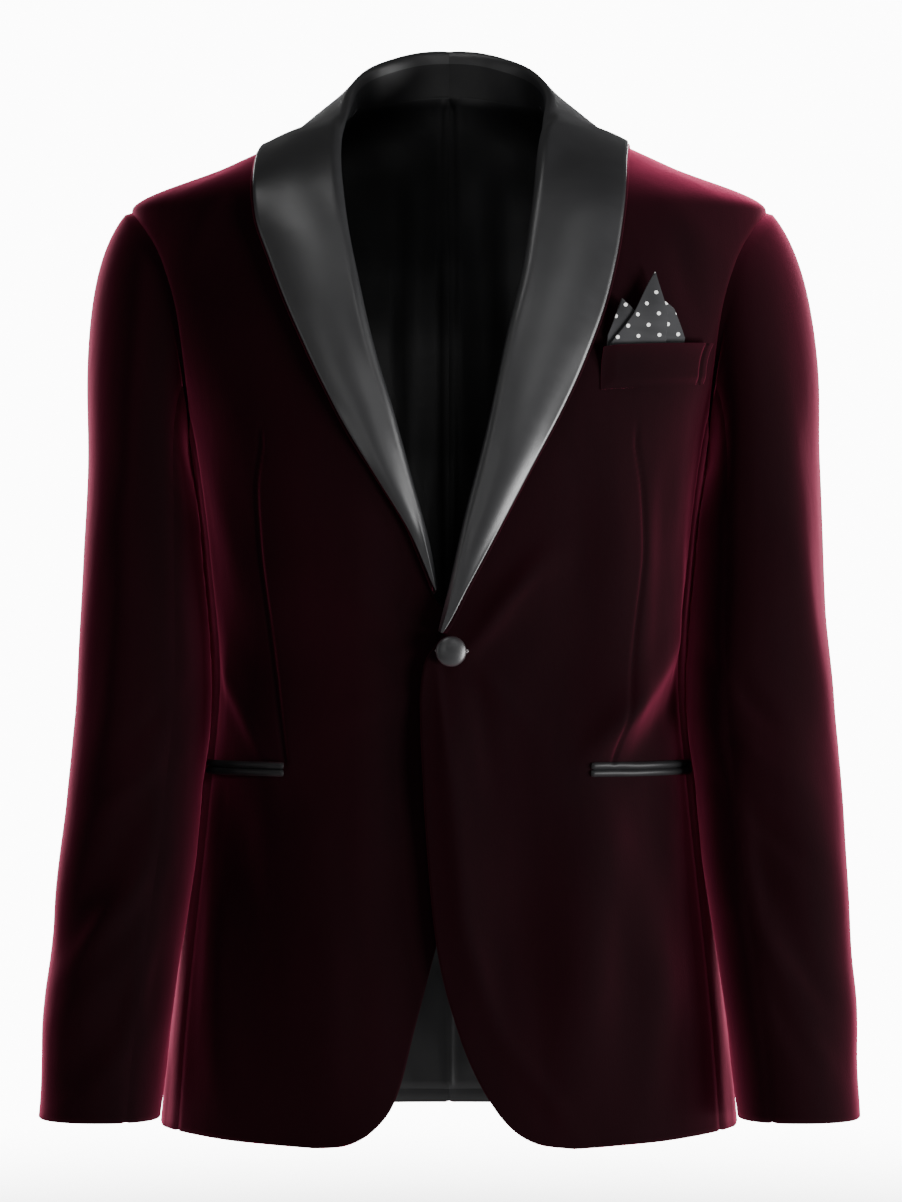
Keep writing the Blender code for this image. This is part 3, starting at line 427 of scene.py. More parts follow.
# Grid sizes of the pieces, across by along
FRONT_GRID = (150, 180)
SIDE_GRID = (30, 100)
BACK_GRID = (56, 120)
SLEEVE_ACROSS = {"top": 60, "under": 40}
SLEEVE_ROWS = 150
CAP_ROWS = 46
COLLAR_STATIONS = 150
FALL_STEPS = 26
FOLD_STEPS = 12
STAND_STEPS = 8
# Rows of the collar stand, at the back, that take the darker lining cloth as painted shade
STAND_SHADE_ROWS = 7
WELT_GRID = (120, 24)
SQUARE_ROWS = 26
SQUARE_STEPS = 12
JET_GRID = (60, 9)

# The lining reaches up over the neck seam and leaves a band of velvet bare inside the hem
LINING_ABOVE_NECK = 0.006
LINING_ABOVE_HEM = 0.010
HEM_BAND_POWER = 8
NECK_BAND_POWER = 24
LINING_SEAM_DEPTH = 0.0022
LINING_SEAM_WIDTH = 0.0030

# The sleeve head is tucked under the armhole edge, and the collar's section is eased smooth
HEAD_TUCK = np.array([-0.006, 0.0, -0.003])
HEAD_RISE = np.array([-0.002, 0.0, 0.0035])
SECTION_PASSES = 8
LENGTH_PASSES = 5
COLLAR_BACK_ABOVE = -0.05
NECK_TUCK = (0.0155, 0.002, -0.002)
NECK_TUCK_Y = -0.027
NECK_TUCK_WIDE = 0.022
SHARP_ANGLE = math.radians(60)

# The breast welt lies flat where it is sewn, with a row of stitches inside its outer end
WELT_GAP = 0.0003
WELT_SUNK = 0.80
WELT_SUNK_BELOW = 0.75
WELT_SUNK_ENDS = 0.85
WELT_STITCH = 0.55
WELT_STITCH_IN = 0.0042
WELT_STITCH_WIDTH = 0.0009
SQUARE_PUFF = 0.0035

# Thread of the buttonhole that shows beside the button
BUTTONHOLE_X = (-0.0090, 0.0128)
BUTTONHOLE_HALF_HEIGHT = 0.0013
THREAD_RADIUS = 0.0006
THREAD_STITCHES = 34
THREAD_BUMP = 0.30
THREAD_SIDES = 8
THREAD_POINTS = 8
BUTTONHOLE_POWER = 0.5

SIDES = ("left", "right")


def smooth_curve(knots, values):
    """A smooth curve through the points, with no overshoot between them."""
    order = np.argsort(knots)
    x = np.asarray(knots, float)[order]
    y = np.asarray(values, float)[order]
    step = np.diff(x)
    slope = np.diff(y) / step
    tangent = np.zeros(len(x))
    tangent[0], tangent[-1] = slope[0], slope[-1]
    product = slope[:-1] * slope[1:]
    total = np.where(product > 0, slope[:-1] + slope[1:], 1.0)
    tangent[1:-1] = np.where(product > 0, 2 * product / total, 0.0)

    def at(query):
        query = np.clip(query, x[0], x[-1])
        i = np.clip(np.searchsorted(x, query) - 1, 0, len(step) - 1)
        t = (query - x[i]) / step[i]
        rise = y[i] * (1 + 2 * t) * (1 - t) ** 2 + y[i + 1] * t * t * (3 - 2 * t)
        lean = tangent[i] * t * (1 - t) ** 2 - tangent[i + 1] * t * t * (1 - t)
        return rise + lean * step[i]

    return at


def column(table, name):
    return [getattr(row, name) for row in table]


def ramp(value, start, end):
    """0 before start, 1 after end, smooth between."""
    t = np.clip((np.asarray(value, float) - start) / (end - start), 0, 1)
    return t * t * (3 - 2 * t)


RING_CURVES = {n: smooth_curve(column(RINGS, "z"), column(RINGS, n)) for n in Ring._fields[1:]}
FRONT_SEAM = smooth_curve(column(SIDE_SEAMS, "z"), np.radians(column(SIDE_SEAMS, "front_angle")))
BACK_SEAM = smooth_curve(column(SIDE_SEAMS, "z"), np.radians(column(SIDE_SEAMS, "back_angle")))
HEM_Z = smooth_curve(np.radians(column(HEM, "angle")), column(HEM, "z"))


def form(angle, z):
    """Points of the torso form on the wearer's left, by angle from the front and height."""
    half_width = RING_CURVES["half_width"](z)
    square = RING_CURVES["square"](z)
    sine, cosine = np.sin(angle), np.cos(angle)
    depth = np.where(cosine > 0, RING_CURVES["front"](z), RING_CURVES["back"](z))
    across = (np.abs(sine) / half_width) ** square
    along = (np.abs(cosine) / depth) ** square
    radius = (across + along) ** (-1 / square)
    y = RING_CURVES["mid_y"](z) - radius * cosine
    return np.stack([radius * sine, y, z + 0 * radius], axis=-1)


def unit(vectors):
    return vectors / np.maximum(np.linalg.norm(vectors, axis=-1, keepdims=True), 1e-12)


def form_normal(angle, z):
    round_it = form(angle + ANGLE_NUDGE, z) - form(angle - ANGLE_NUDGE, z)
    up = form(angle, z + HEIGHT_NUDGE) - form(angle, z - HEIGHT_NUDGE)
    return unit(np.cross(round_it, up))


def on_form(angle, z, out=0.0):
    """Points of the form moved out along its normal."""
    angle, z, out = np.broadcast_arrays(angle, z, out)
    return form(angle, z) + form_normal(angle, z) * out[..., None]


def angle_at(x, z):
    """The angle where the form's front has this x at this height."""
    x, z = np.broadcast_arrays(np.asarray(x, float), np.asarray(z, float))
    found = [np.interp(a, form(SWEEP, b)[:, 0], SWEEP) for a, b in zip(x.ravel(), z.ravel())]
    return np.array(found).reshape(x.shape)


def domain_of(points):
    """Angle and height on the form of points near it."""
    z = points[..., 2]
    y = points[..., 1] - RING_CURVES["mid_y"](z)
    return np.arctan2(points[..., 0], -y), z


def lifted(points, clear):
    """The points, moved out where they are nearer to the form than the clearance."""
    for _ in range(LIFT_PASSES):
        angle, z = domain_of(points)
        normal = form_normal(angle, z)
        gap = np.sum((points - form(angle, z)) * normal, axis=-1)
        points = points + normal * np.maximum(clear - gap, 0)[..., None]
    return points


def fold_height(piece, x, z):
    """How far the folds of a piece stand out at a front-view place."""
    total = np.zeros(np.broadcast(x, z).shape)
    for fold in FOLDS[piece]:
        start = np.array([fold.x0, fold.z0])
        run = np.array([fold.x1, fold.z1]) - start
        length = np.linalg.norm(run)
        dx, dz = x - start[0], z - start[1]
        along = (dx * run[0] + dz * run[1]) / length
        aside = (dx * run[1] - dz * run[0]) / length
        taper = ramp(along, -FOLD_FADE, FOLD_FADE) * ramp(length - along, -FOLD_FADE, FOLD_FADE)
        total = total + fold.height * taper * np.exp(-((aside / fold.width) ** 2))
    return total


def front_out(side, angle, z):
    """How far a front panel stands off the form: its folds, and the lap of the right one."""
    x = form(angle, z)[..., 0]
    to_seam = FRONT_SEAM(z) - angle
    inside = ramp(to_seam, 0.0, FRONT_FOLD_OFF_SEAM) * ramp(np.cos(angle), *FRONT_FOLDS_FACE)
    out = (fold_height(side, x, z) + waves(x, z)) * inside + dart_dip(x, z)
    if side == "right":
        out = out - LAP_DEPTH * ramp(-x, -LAP_START_X, -LAP_FULL_X)
    return out


def run_length(points):
    """Length along a line, from its first point."""
    return np.concatenate([[0], np.cumsum(np.linalg.norm(np.diff(points, axis=0), axis=1))])


def along(points, count):
    """The points of an open line, spaced evenly by length."""
    points = np.asarray(points, float)
    length = run_length(points)
    even = np.linspace(0, length[-1], count)
    return np.stack([np.interp(even, length, points[:, k]) for k in range(points.shape[1])], axis=1)


def spline(points, count):
    """A smooth line through the points, spaced evenly by length."""
    points = np.asarray(points, float)
    chord = run_length(points)
    curves = [smooth_curve(chord, points[:, k]) for k in range(points.shape[1])]
    fine = np.linspace(0, chord[-1], SPLINE_POINTS * len(points))
    return along(np.stack([curve(fine) for curve in curves], axis=1), count)


def patch(bottom, top, left, right):
    """A grid filled smoothly between four edge lines, indexed across then along."""
    across, up = len(bottom), len(left)
    s = np.linspace(0, 1, across)[:, None, None]
    t = np.linspace(0, 1, up)[None, :, None]
    edges = (1 - s) * left[None] + s * right[None] + (1 - t) * bottom[:, None] + t * top[:, None]
    corners = (1 - s) * ((1 - t) * left[0] + t * left[-1]) + s * ((1 - t) * right[0] + t * right[-1])
    return edges - corners


def by_length(domain_line, count):
    """A line in the form's angle and height, spaced evenly by its real length."""
    line = np.asarray(domain_line, float)
    places = form(line[:, 0], line[:, 1])
    both = np.concatenate([places, line], axis=1)
    length = run_length(places)
    even = np.linspace(0, length[-1], count)
    return np.stack([np.interp(even, length, both[:, k]) for k in (3, 4)], axis=1)


def armhole(turn):
    """The armhole on the form by its own angle: 0 at the shoulder tip, 90 degrees in front."""
    sine = np.sin(turn)
    reach = np.where(sine > 0, ARMHOLE_FRONT, ARMHOLE_BACK)
    z = ARMHOLE_MIDDLE_Z + ARMHOLE_HALF_Z * np.cos(turn)
    return np.stack([SIDE_ANGLE - reach * sine, z], axis=-1)


def seam_turn(seam, low, high):
    """The armhole angle where a side seam runs into it."""
    turns = np.linspace(low, high, TURN_POINTS)
    angle, z = armhole(turns).T
    return turns[np.argmin(np.abs(angle - seam(z)))]


FRONT_TURN = seam_turn(FRONT_SEAM, math.radians(100), math.radians(179))
BACK_TURN = seam_turn(BACK_SEAM, math.radians(181), math.radians(260))


def shoulder_line(count):
    """The shoulder seam on the form, from the neck to the shoulder tip."""
    z = np.linspace(0, SHOULDER_TIP_Z, count)
    return np.stack([np.full(count, SIDE_ANGLE), z], axis=1)


def seam_side(seam, turn, tip_turn=None):
    """A side seam from the hem up and, given the shoulder tip, on along the armhole to it."""
    foot_angle = float(seam(HEM[-1].z))
    foot_z = float(HEM_Z(foot_angle))
    top_z = armhole(np.array(turn))[1]
    z = np.linspace(foot_z, top_z, SEAM_POINTS)
    straight = np.stack([seam(z), z], axis=1)
    if tip_turn is None:
        return straight
    curve = armhole(np.linspace(turn, tip_turn, ARMHOLE_POINTS))
    return np.concatenate([straight, curve[1:]])


def front_inner_line(side):
    """A front panel's free edge on the form: up the cutaway, past the break, inside the roll."""
    edge = [(row.x, row.z) for row in reversed(FRONT_EDGES[side])]
    above = edge[-1][1] + ROLL_ABOVE_BREAK
    roll = [(row.roll_x, row.roll_z) for row in LAPELS[side] if row.roll_z > above]
    line = spline(edge + roll, LINE_POINTS)
    inset = PANEL_INSET * ramp(line[:, 1], *INSET_STARTS) + NECK_INSET * ramp(line[:, 1], *NECK_STARTS)
    angle = angle_at(line[:, 0] + inset, line[:, 1])
    neck = [[SIDE_ANGLE - NECK_POINT_TURN, NECK_POINT_Z], [SIDE_ANGLE, 0.0]]
    return np.concatenate([np.stack([angle, line[:, 1]], axis=1), neck])


def hem_line(start_angle, end_angle, count):
    angle = np.linspace(start_angle, end_angle, count)
    return np.stack([angle, HEM_Z(angle)], axis=1)


def front_grid(side):
    across, up = FRONT_GRID
    left = by_length(front_inner_line(side), up)
    right = by_length(seam_side(FRONT_SEAM, FRONT_TURN, 0.0), up)
    bottom = hem_line(left[0, 0], right[0, 0], across)
    left[0], right[0] = bottom[0], bottom[-1]
    return patch(bottom, shoulder_line(across), left, right)


def side_grid():
    across, up = SIDE_GRID
    top = armhole(np.linspace(FRONT_TURN, BACK_TURN, across))
    left = by_length(seam_side(FRONT_SEAM, FRONT_TURN), up)
    right = by_length(seam_side(BACK_SEAM, BACK_TURN), up)
    bottom = hem_line(left[0, 0], right[0, 0], across)
    top[1:-1, 1] -= UNDERARM_GAP
    left[0], right[0], left[-1], right[-1] = bottom[0], bottom[-1], top[0], top[-1]
    return patch(bottom, top, left, right)


def back_grid():
    across, up = BACK_GRID
    neck_share = across // 2 - 1
    turn = np.linspace(math.pi, SIDE_ANGLE, neck_share + 1)
    neck = np.stack([turn, NECK_BACK_Z * ramp(turn, SIDE_ANGLE, math.pi)], axis=1)
    top = np.concatenate([neck, shoulder_line(across - neck_share)[1:]])
    right = by_length(seam_side(BACK_SEAM, BACK_TURN, 2 * math.pi), up)
    bottom = hem_line(math.pi, right[0, 0], across)
    z = np.linspace(bottom[0, 1], NECK_BACK_Z, up)
    left = np.stack([np.full(up, math.pi), z], axis=1)
    right[0] = bottom[-1]
    return patch(bottom, top, left, right)


def grid_normals(grid):
    return unit(np.cross(np.gradient(grid, axis=0), np.gradient(grid, axis=1)))


def sleeve_rows(side):
    """Rings of a sleeve below its cap, each by the sleeve's own angle, 0 on the outside."""
    outer_name = f"outer_{side}"
    columns = {n: smooth_curve(column(SLEEVES, "z"), column(SLEEVES, n)) for n in Sleeve._fields[1:]}

    def ring(turn, z):
        outer, inner = columns[outer_name](z), columns["inner"](z)
        middle, half = (outer + inner) / 2, (outer - inner) / 2
        power = 2 / SLEEVE_SQUARE
        cosine, sine = np.cos(turn), np.sin(turn)
        x = middle + half * np.sign(cosine) * np.abs(cosine) ** power
        y = columns["mid_y"](z) - columns["half_depth"](z) * np.sign(sine) * np.abs(sine) ** power
        return np.stack([x, y, z + 0 * x], axis=-1)

    return ring


def clear_of_body(points):
    """Sleeve points moved aside where they would touch the torso round and below the armhole."""
    angle, z = domain_of(points)
    body = form(angle, z)
    mid_y = RING_CURVES["mid_y"](z)
    reach = np.where(angle < SIDE_ANGLE, ARMHOLE_FRONT, ARMHOLE_BACK)
    outside_hole = np.hypot((angle - SIDE_ANGLE) / reach, (z - ARMHOLE_MIDDLE_Z) / ARMHOLE_HALF_Z)
    gap = np.hypot(points[..., 0], points[..., 1] - mid_y) - np.hypot(body[..., 0], body[..., 1] - mid_y)
    wanted = ARMHOLE_GAP + (SLEEVE_CLEARANCE - ARMHOLE_GAP) * ramp(outside_hole, *CLEAR_OF_ARMHOLE)
    moved = points.copy()
    moved[..., 0] += np.maximum(wanted - gap, 0) * ramp(outside_hole, *BESIDE_ARMHOLE)
    return moved


def sleeve_surface(side, turn):
    """A sleeve's points by its own angle, from the armhole down to the cuff."""
    ring = sleeve_rows(side)
    top_z, cuff_z = SLEEVES[0].z, SLEEVES[-1].z
    hole = armhole(np.mod(turn, 2 * math.pi))
    seat = form(hole[:, 0], hole[:, 1]) + np.array([ARMHOLE_GAP, 0, 0])
    landing = ring(turn, np.full(len(turn), top_z))
    falling = unit(ring(turn, np.full(len(turn), top_z - SLEEVE_FALL_STEP)) - landing)
    span = np.linalg.norm(landing - seat, axis=1, keepdims=True)
    topness = ((1 + np.cos(turn)) / 2)[:, None]
    leaving = np.array(CAP_LEAVES_TOP) * topness + np.array(CAP_LEAVES_UNDER) * (1 - topness)
    leaving[:, 1] -= CAP_BULGE * np.sin(turn)
    leaving = unit(leaving)
    rows = []
    for t in np.linspace(0, 1, CAP_ROWS, endpoint=False):
        ends = (1 + 2 * t) * (1 - t) ** 2 * seat + t * t * (3 - 2 * t) * landing
        leans = t * (1 - t) ** 2 * leaving * CAP_FULLNESS - t * t * (1 - t) * falling * CAP_FALL
        rows.append(ends + leans * span)
    for z in np.linspace(top_z, cuff_z, SLEEVE_ROWS - CAP_ROWS):
        rows.append(ring(turn, np.full(len(turn), z)))
    rows = clear_of_body(np.stack(rows, axis=1))
    rows[:, 0] = seat + HEAD_TUCK + HEAD_RISE * topness
    return rows


def collar_lines(side):
    """The roll line and the outer edge of a collar half, break to centre back."""
    roll, edge = [], []
    for row in LAPELS[side]:
        pair = (roll, row.roll_x, row.roll_z, 0.0), (edge, row.edge_x, row.edge_z, FALL_LIFT)
        for line, x, z, out in pair:
            line.append(on_front(side, np.array(x), np.array(z), out))
    for row in COLLAR_BACK:
        roll.append(np.array([row.roll_x, row.roll_y, row.roll_z]))
        edge.append(lifted(np.array([row.edge_x, row.edge_y, row.edge_z]), FALL_LIFT))
    return spline(roll, COLLAR_STATIONS), spline(edge, COLLAR_STATIONS)


def collar_sections(side):
    """A collar half's sections from its inner end, over the roll, to the outer edge."""
    roll, edge = collar_lines(side)
    share = np.linspace(0, 1, COLLAR_STATIONS)
    back = ramp(roll[:, 2], *BACK_STARTS)[:, None]
    width = np.linalg.norm(edge - roll, axis=1, keepdims=True)
    radius = np.minimum(ROLL_RADIUS, width * ROLL_SHARE)

    # The inner end lies behind the front panel and, round the neck, just above the back's neck seam
    return_width = RETURN_WIDTH * ramp(share, 0.0, RETURN_STARTS)
    return_width = return_width * (1 - (1 - NECK_RETURN) * ramp(roll[:, 2], *NECK_STARTS))
    least, most = RETURN_SHARE
    return_share = np.minimum(return_width[:, None] / width + least, most)
    angle, z = domain_of(roll + (edge - roll) * return_share)
    behind = on_form(angle, z, front_out(side, angle, z) - ROLL_RADIUS)
    neck_angle = np.arctan2(roll[:, 0], RING_CURVES["mid_y"](0.0) - roll[:, 1])
    neck_angle = np.clip(neck_angle, SIDE_ANGLE, math.pi)
    neck_z = NECK_BACK_Z * ramp(neck_angle, SIDE_ANGLE, math.pi) + NECK_SEAM_GAP
    seam = on_form(neck_angle, neck_z, -ROLL_RADIUS)
    inner = behind * (1 - back) + seam * back

    towards = unit(unit(inner - roll) + unit(edge - roll))
    aside = edge - inner
    aside = unit(aside - towards * np.sum(aside * towards, axis=1, keepdims=True))
    centre = roll + towards * radius
    rows = []
    for t in np.linspace(0, 1, STAND_STEPS, endpoint=False):
        rows.append(inner + (centre - aside * radius - inner) * t)
    for turn in np.linspace(-math.pi / 2, math.pi / 2, FOLD_STEPS, endpoint=False):
        rows.append(centre + radius * (aside * math.sin(turn) - towards * math.cos(turn)))
    start = centre + aside * radius
    swell = FALL_SWELL * ramp(share, 0.0, SWELL_STARTS)[:, None]
    for t in np.linspace(0, 1, FALL_STEPS + 1):
        rows.append(start + (edge - start) * t + aside * swell * 4 * t * (1 - t))
    return eased(side, np.stack(rows, axis=0))


def eased(side, rows):
    """A collar half with its section smoothed from the roll to the edge, above the panel."""
    fall = slice(-FALL_STEPS - 1, None)
    for _ in range(SECTION_PASSES):
        blend(rows)
        rows[fall] = fall_above_panel(side, rows[fall])
    for _ in range(LENGTH_PASSES):
        blend(rows.swapaxes(0, 1))
    blend(rows)
    return rows


def blend(rows):
    """Moves each inner row towards its neighbours."""
    rows[1:-1] = (rows[:-2] + 2 * rows[1:-1] + rows[2:]) / 4


def fall_above_panel(side, places):
    """Points of the collar's fall, kept above the panel that they lie on."""
    angle, z = domain_of(places)
    stand_off = np.where(angle < SIDE_ANGLE, front_out(side, angle, z), 0.0)
    return lifted(places, FALL_LIFT + stand_off)


def section_normals(rows):
    """Normals of a collar half, outwards on its fall."""
    normal = grid_normals(rows)
    angle, z = domain_of(rows[-2])
    facing = np.sum(normal[-2] * form_normal(angle, z), axis=-1).sum()
    return normal * np.sign(facing)


def on_front(side, x, z, out):
    """Points on a front panel by front-view place, moved out."""
    x, z = np.broadcast_arrays(x, z)
    angle = angle_at(x, z)
    return on_form(angle, z, out + front_out(side, angle, z))


# Rims of a grid, as its axis and whether it is the far end
ACROSS_START = (0, False)
ACROSS_END = (0, True)
ALONG_START = (1, False)
ALONG_END = (1, True)
PANEL_SEAMS = (ACROSS_START, ACROSS_END, ALONG_END)
SLEEVE_SEAMS = (ACROSS_START, ACROSS_END, ALONG_START)


def lengths(places, axis):
    """Length run from the first row, along one axis of a grid of points."""
    steps = np.linalg.norm(np.diff(places, axis=axis), axis=-1)
    start = np.zeros_like(np.take(steps, [0], axis=axis))
    return np.concatenate([start, np.cumsum(steps, axis=axis)], axis=axis)


def seam_dip(places, rims):
    """How far a sheet stands out near its sewn rims: negative, with small puckers along the seam."""
    dip = np.zeros(places.shape[:2])
    for axis, at_end in rims:
        away = lengths(places, axis)
        if at_end:
            away = np.take(away, [-1], axis=axis) - away
        ease = 1 + PUCKER * np.sin(2 * math.pi * lengths(places, 1 - axis) / PUCKER_PITCH)
        dip = dip - SEAM_DEPTH * ease * np.exp(-((away / SEAM_WIDTH) ** 2))
    return dip


def waves(x, z, phase=0.0):
    """The slow unevenness of hanging cloth."""
    total = 0.0
    for wave in WAVES:
        total = total + wave.height * np.sin(wave.x_rate * x + wave.z_rate * z + wave.phase + phase)
    return total


def dart_dip(x, z):
    """The groove of the dart in a front."""
    line = smooth_curve(column(DART, "z"), column(DART, "x"))
    ends = ramp(z, DART[-1].z - DART_FADE / 4, DART[-1].z) * ramp(-z, -DART[0].z - DART_FADE, -DART[0].z)
    return -DART_DEPTH * ends * np.exp(-(((x - line(z)) / DART_WIDTH) ** 2))


def cut_of(places, width=None):
    """Flat width, length and area of a sheet, measured along its cloth."""
    width = width or float(lengths(places, 0).max())
    length = float(lengths(places, 1).max())
    across = places[1:, :-1] - places[:-1, :-1]
    up = places[:-1, 1:] - places[:-1, :-1]
    area = float(np.linalg.norm(np.cross(across, up), axis=-1).sum())
    return (round(width, 3), round(length, 3)), min(area, width * length)


def rim_of(across, up):
    """Grid places round the rim, in order."""
    rim = [(i, 0) for i in range(across)]
    rim += [(across - 1, j) for j in range(1, up)]
    rim += [(i, up - 1) for i in range(across - 2, -1, -1)]
    rim += [(0, j) for j in range(up - 2, 0, -1)]
    return np.array(rim)


def shell(name, outer, inner, cloth, side="left", flat=None, sewn=(), inside=None):
    """A thin closed cloth shell between two grids, its free rims rounded, its inside perhaps lined."""
    if side == "right":
        outer, inner = outer * (-1, 1, 1), inner * (-1, 1, 1)
    across, up = outer.shape[:2]
    count = across * up
    index = np.arange(count).reshape(across, up)
    corners = index[:-1, :-1], index[1:, :-1], index[1:, 1:], index[:-1, 1:]
    skin = np.stack(corners, axis=-1).reshape(-1, 4)
    rim = rim_of(across, up)
    next_in = np.clip(rim, 1, [across - 2, up - 2])
    top, low = outer[rim[:, 0], rim[:, 1]], inner[rim[:, 0], rim[:, 1]]
    beside = (outer + inner)[next_in[:, 0], next_in[:, 1]] / 2
    middle = (top + low) / 2
    thickness = np.linalg.norm(top - low, axis=1, keepdims=True)
    free = np.ones((len(rim), 1))
    for axis, at_end in sewn:
        free[rim[:, axis] == (outer.shape[axis] - 1 if at_end else 0)] = 0.0
    middle = middle + unit(middle - beside) * free * thickness / 2
    ring_top = index[rim[:, 0], rim[:, 1]]
    ring_low = ring_top + count
    ring_mid = 2 * count + np.arange(len(rim))
    bands = []
    for one, two in ((ring_top, ring_mid), (ring_mid, ring_low)):
        bands.append(np.stack([one, np.roll(one, -1), np.roll(two, -1), two], axis=-1))
    faces = np.concatenate([skin, skin[:, ::-1] + count, *bands])
    points = np.concatenate([outer.reshape(-1, 3), inner.reshape(-1, 3), middle])
    if flat is None:
        flat = np.stack([lengths(outer, 0), lengths(outer, 1)], axis=-1)
    flat = flat.reshape(-1, 2)
    made = meshed(name, points, faces, cloth, np.concatenate([flat, flat, flat[ring_top]]))
    if inside:
        face_with(made, inside, np.arange(len(faces)) // len(skin) == 1)
    return made


def face_with(made, cloth, chosen):
    """Gives the chosen faces of a piece a second cloth."""
    made.data.materials.append(cloth)
    made.data.polygons.foreach_set("material_index", np.asarray(chosen, np.int32))


def meshed(name, points, faces, cloth, flat=None):
    """A smooth object with outward faces, and its flat cut as the UV map in metres."""
    data = bpy.data.meshes.new(name)
    data.from_pydata(points.tolist(), [], faces.tolist() if hasattr(faces, "tolist") else faces)
    mesh = bmesh.new()
    mesh.from_mesh(data)
    bmesh.ops.recalc_face_normals(mesh, faces=mesh.faces)
    if mesh.calc_volume(signed=True) < 0:
        bmesh.ops.reverse_faces(mesh, faces=mesh.faces)
    mesh.to_mesh(data)
    mesh.free()
    data.shade_smooth()
    data.set_sharp_from_angle(angle=SHARP_ANGLE)
    if flat is not None:
        corners = np.empty(len(data.loops), np.int32)
        data.loops.foreach_get("vertex_index", corners)
        layer = data.uv_layers.new(name="flat_cut")
        layer.data.foreach_set("uv", flat[corners].ravel())
    data.materials.append(cloth)
    made = bpy.data.objects.new(name, data)
    bpy.context.scene.collection.objects.link(made)
    return made


def dress(made, slot, *nodes):
    """Ties a piece to the frame: it rides on the one body and stands for its solids."""
    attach(made, "root")
    if nodes:
        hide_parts(*nodes)


def sheet(node, outer, inner, cloth, slot, side, sewn=(), width=None, flat=None,
          inside=None):
    """A sheet that stands for the solid of its name. Its cut is measured, or has a given width."""
    made = shell(f"{node}_cloth", outer, inner, cloth, side, flat, sewn, inside)
    dress(made, slot, node)
    cut, area = cut_of(outer, width)
    return made


# Cloth colours and surface sizes
VELVET_DARK = (0.0013, 0.0004, 0.0006, 1.0)
VELVET_LIGHT = (0.0042, 0.0007, 0.0013, 1.0)
VELVET_SHEEN = (0.92, 0.110, 0.250, 1.0)
SATIN_DARK = (0.0130, 0.0130, 0.0140, 1.0)
SATIN_LIGHT = (0.0200, 0.0200, 0.0214, 1.0)
SATIN_SHEEN = (0.60, 0.60, 0.64, 1.0)
LINING_DARK = (0.0050, 0.0050, 0.0056, 1.0)
LINING_LIGHT = (0.0110, 0.0110, 0.0120, 1.0)
SQUARE_DARK = (0.0085, 0.0085, 0.0095, 1.0)
SQUARE_LIGHT = (0.0230, 0.0230, 0.0255, 1.0)
DOT_WHITE = (0.86, 0.86, 0.84, 1.0)
THREAD_GREY = (0.42, 0.40, 0.41, 1.0)
Grain = namedtuple("Grain", "scale detail stretch")
GRAINS = {
    "brushed": Grain(11.0, 4.0, (1.0, 1.0, 0.45)),
    "streaks": Grain(120.0, 3.0, (1.0, 1.0, 0.12)),
    "nap": Grain(900.0, 2.0, (1.0, 1.0, 1.0)),
    "slubs": Grain(260.0, 3.0, (0.10, 1.0, 1.0)),
    "clouds": Grain(22.0, 3.0, (1.0, 1.0, 1.0)),
    "twist": Grain(2400.0, 2.0, (1.0, 1.0, 1.0)),
}
STREAK_SHARE = 0.15
STREAK_RISE = 0.3
BRUSHED_RISE = 16.0
WEAVE_PITCH = 0.00045
RIB_SCALE = math.pi / (10 * WEAVE_PITCH)
DOT_PITCH = 0.0100
DOT_TURN = math.radians(40)
DOT_RADIUS = 0.00125

# Sockets by short name, and the colour sockets of a mix node, which share their names with others
SOCKETS = {
    "base_color": "Base Color",
    "roughness": "Roughness",
    "specular": "Specular IOR Level",
    "sheen": "Sheen Weight",
    "sheen_roughness": "Sheen Roughness",
    "sheen_tint": "Sheen Tint",
}
MIX_FIRST = 6
MIX_SECOND = 7
MIX_RESULT = 2


class Cloth:
    """A material being made: short ways to add a node and join two sockets."""

    def __init__(self, name, **values):
        self.material = bpy.data.materials.new(name)
        self.material.use_nodes = True
        self.tree = self.material.node_tree
        self.shader = self.tree.nodes["Principled BSDF"]
        for socket, value in values.items():
            self.shader.inputs[SOCKETS[socket]].default_value = value

    def node(self, kind, **settings):
        made = self.tree.nodes.new(kind)
        for name, value in settings.items():
            if name in made.inputs:
                made.inputs[name].default_value = value
            else:
                setattr(made, name, value)
        return made

    def link(self, output, target):
        self.tree.links.new(output, target)

    def noise(self, coords, name):
        """A grain in the given coordinates: noise, in turns per metre, pulled out along some axes."""
        grain = GRAINS[name]
        mapped = self.node("ShaderNodeMapping", Scale=grain.stretch)
        self.link(coords, mapped.inputs["Vector"])
        made = self.node("ShaderNodeTexNoise", Scale=grain.scale, Detail=grain.detail)
        self.link(mapped.outputs["Vector"], made.inputs["Vector"])
        return made.outputs["Fac"]

    def math(self, operation, one, two):
        made = self.node("ShaderNodeMath", operation=operation)
        for socket, value in zip(made.inputs, (one, two)):
            if hasattr(value, "node"):
                self.link(value, socket)
            else:
                socket.default_value = value
        return made.outputs[0]

    def plus(self, one, two, weight):
        """One value and a share of another."""
        return self.math("ADD", one, self.math("MULTIPLY", two, weight))

    def between(self, factor, dark, light, low=0.3, high=0.7):
        """Two colours mixed by a factor, from low to high."""
        made = self.node("ShaderNodeValToRGB")
        for stop, place, colour in zip(made.color_ramp.elements, (low, high), (dark, light)):
            stop.position = place
            stop.color = colour
        self.link(factor, made.inputs["Fac"])
        return made.outputs["Color"]

    def rough(self, factor, low, high):
        made = self.node("ShaderNodeMapRange")
        made.inputs["To Min"].default_value = low
        made.inputs["To Max"].default_value = high
        self.link(factor, made.inputs["Value"])
        self.link(made.outputs["Result"], self.shader.inputs["Roughness"])

    def bump(self, height, distance, strength=1.0):
        made = self.node("ShaderNodeBump", Strength=strength, Distance=distance)
        self.link(height, made.inputs["Height"])
        self.link(made.outputs["Normal"], self.shader.inputs["Normal"])

    def colour(self, output):
        self.link(output, self.shader.inputs["Base Color"])


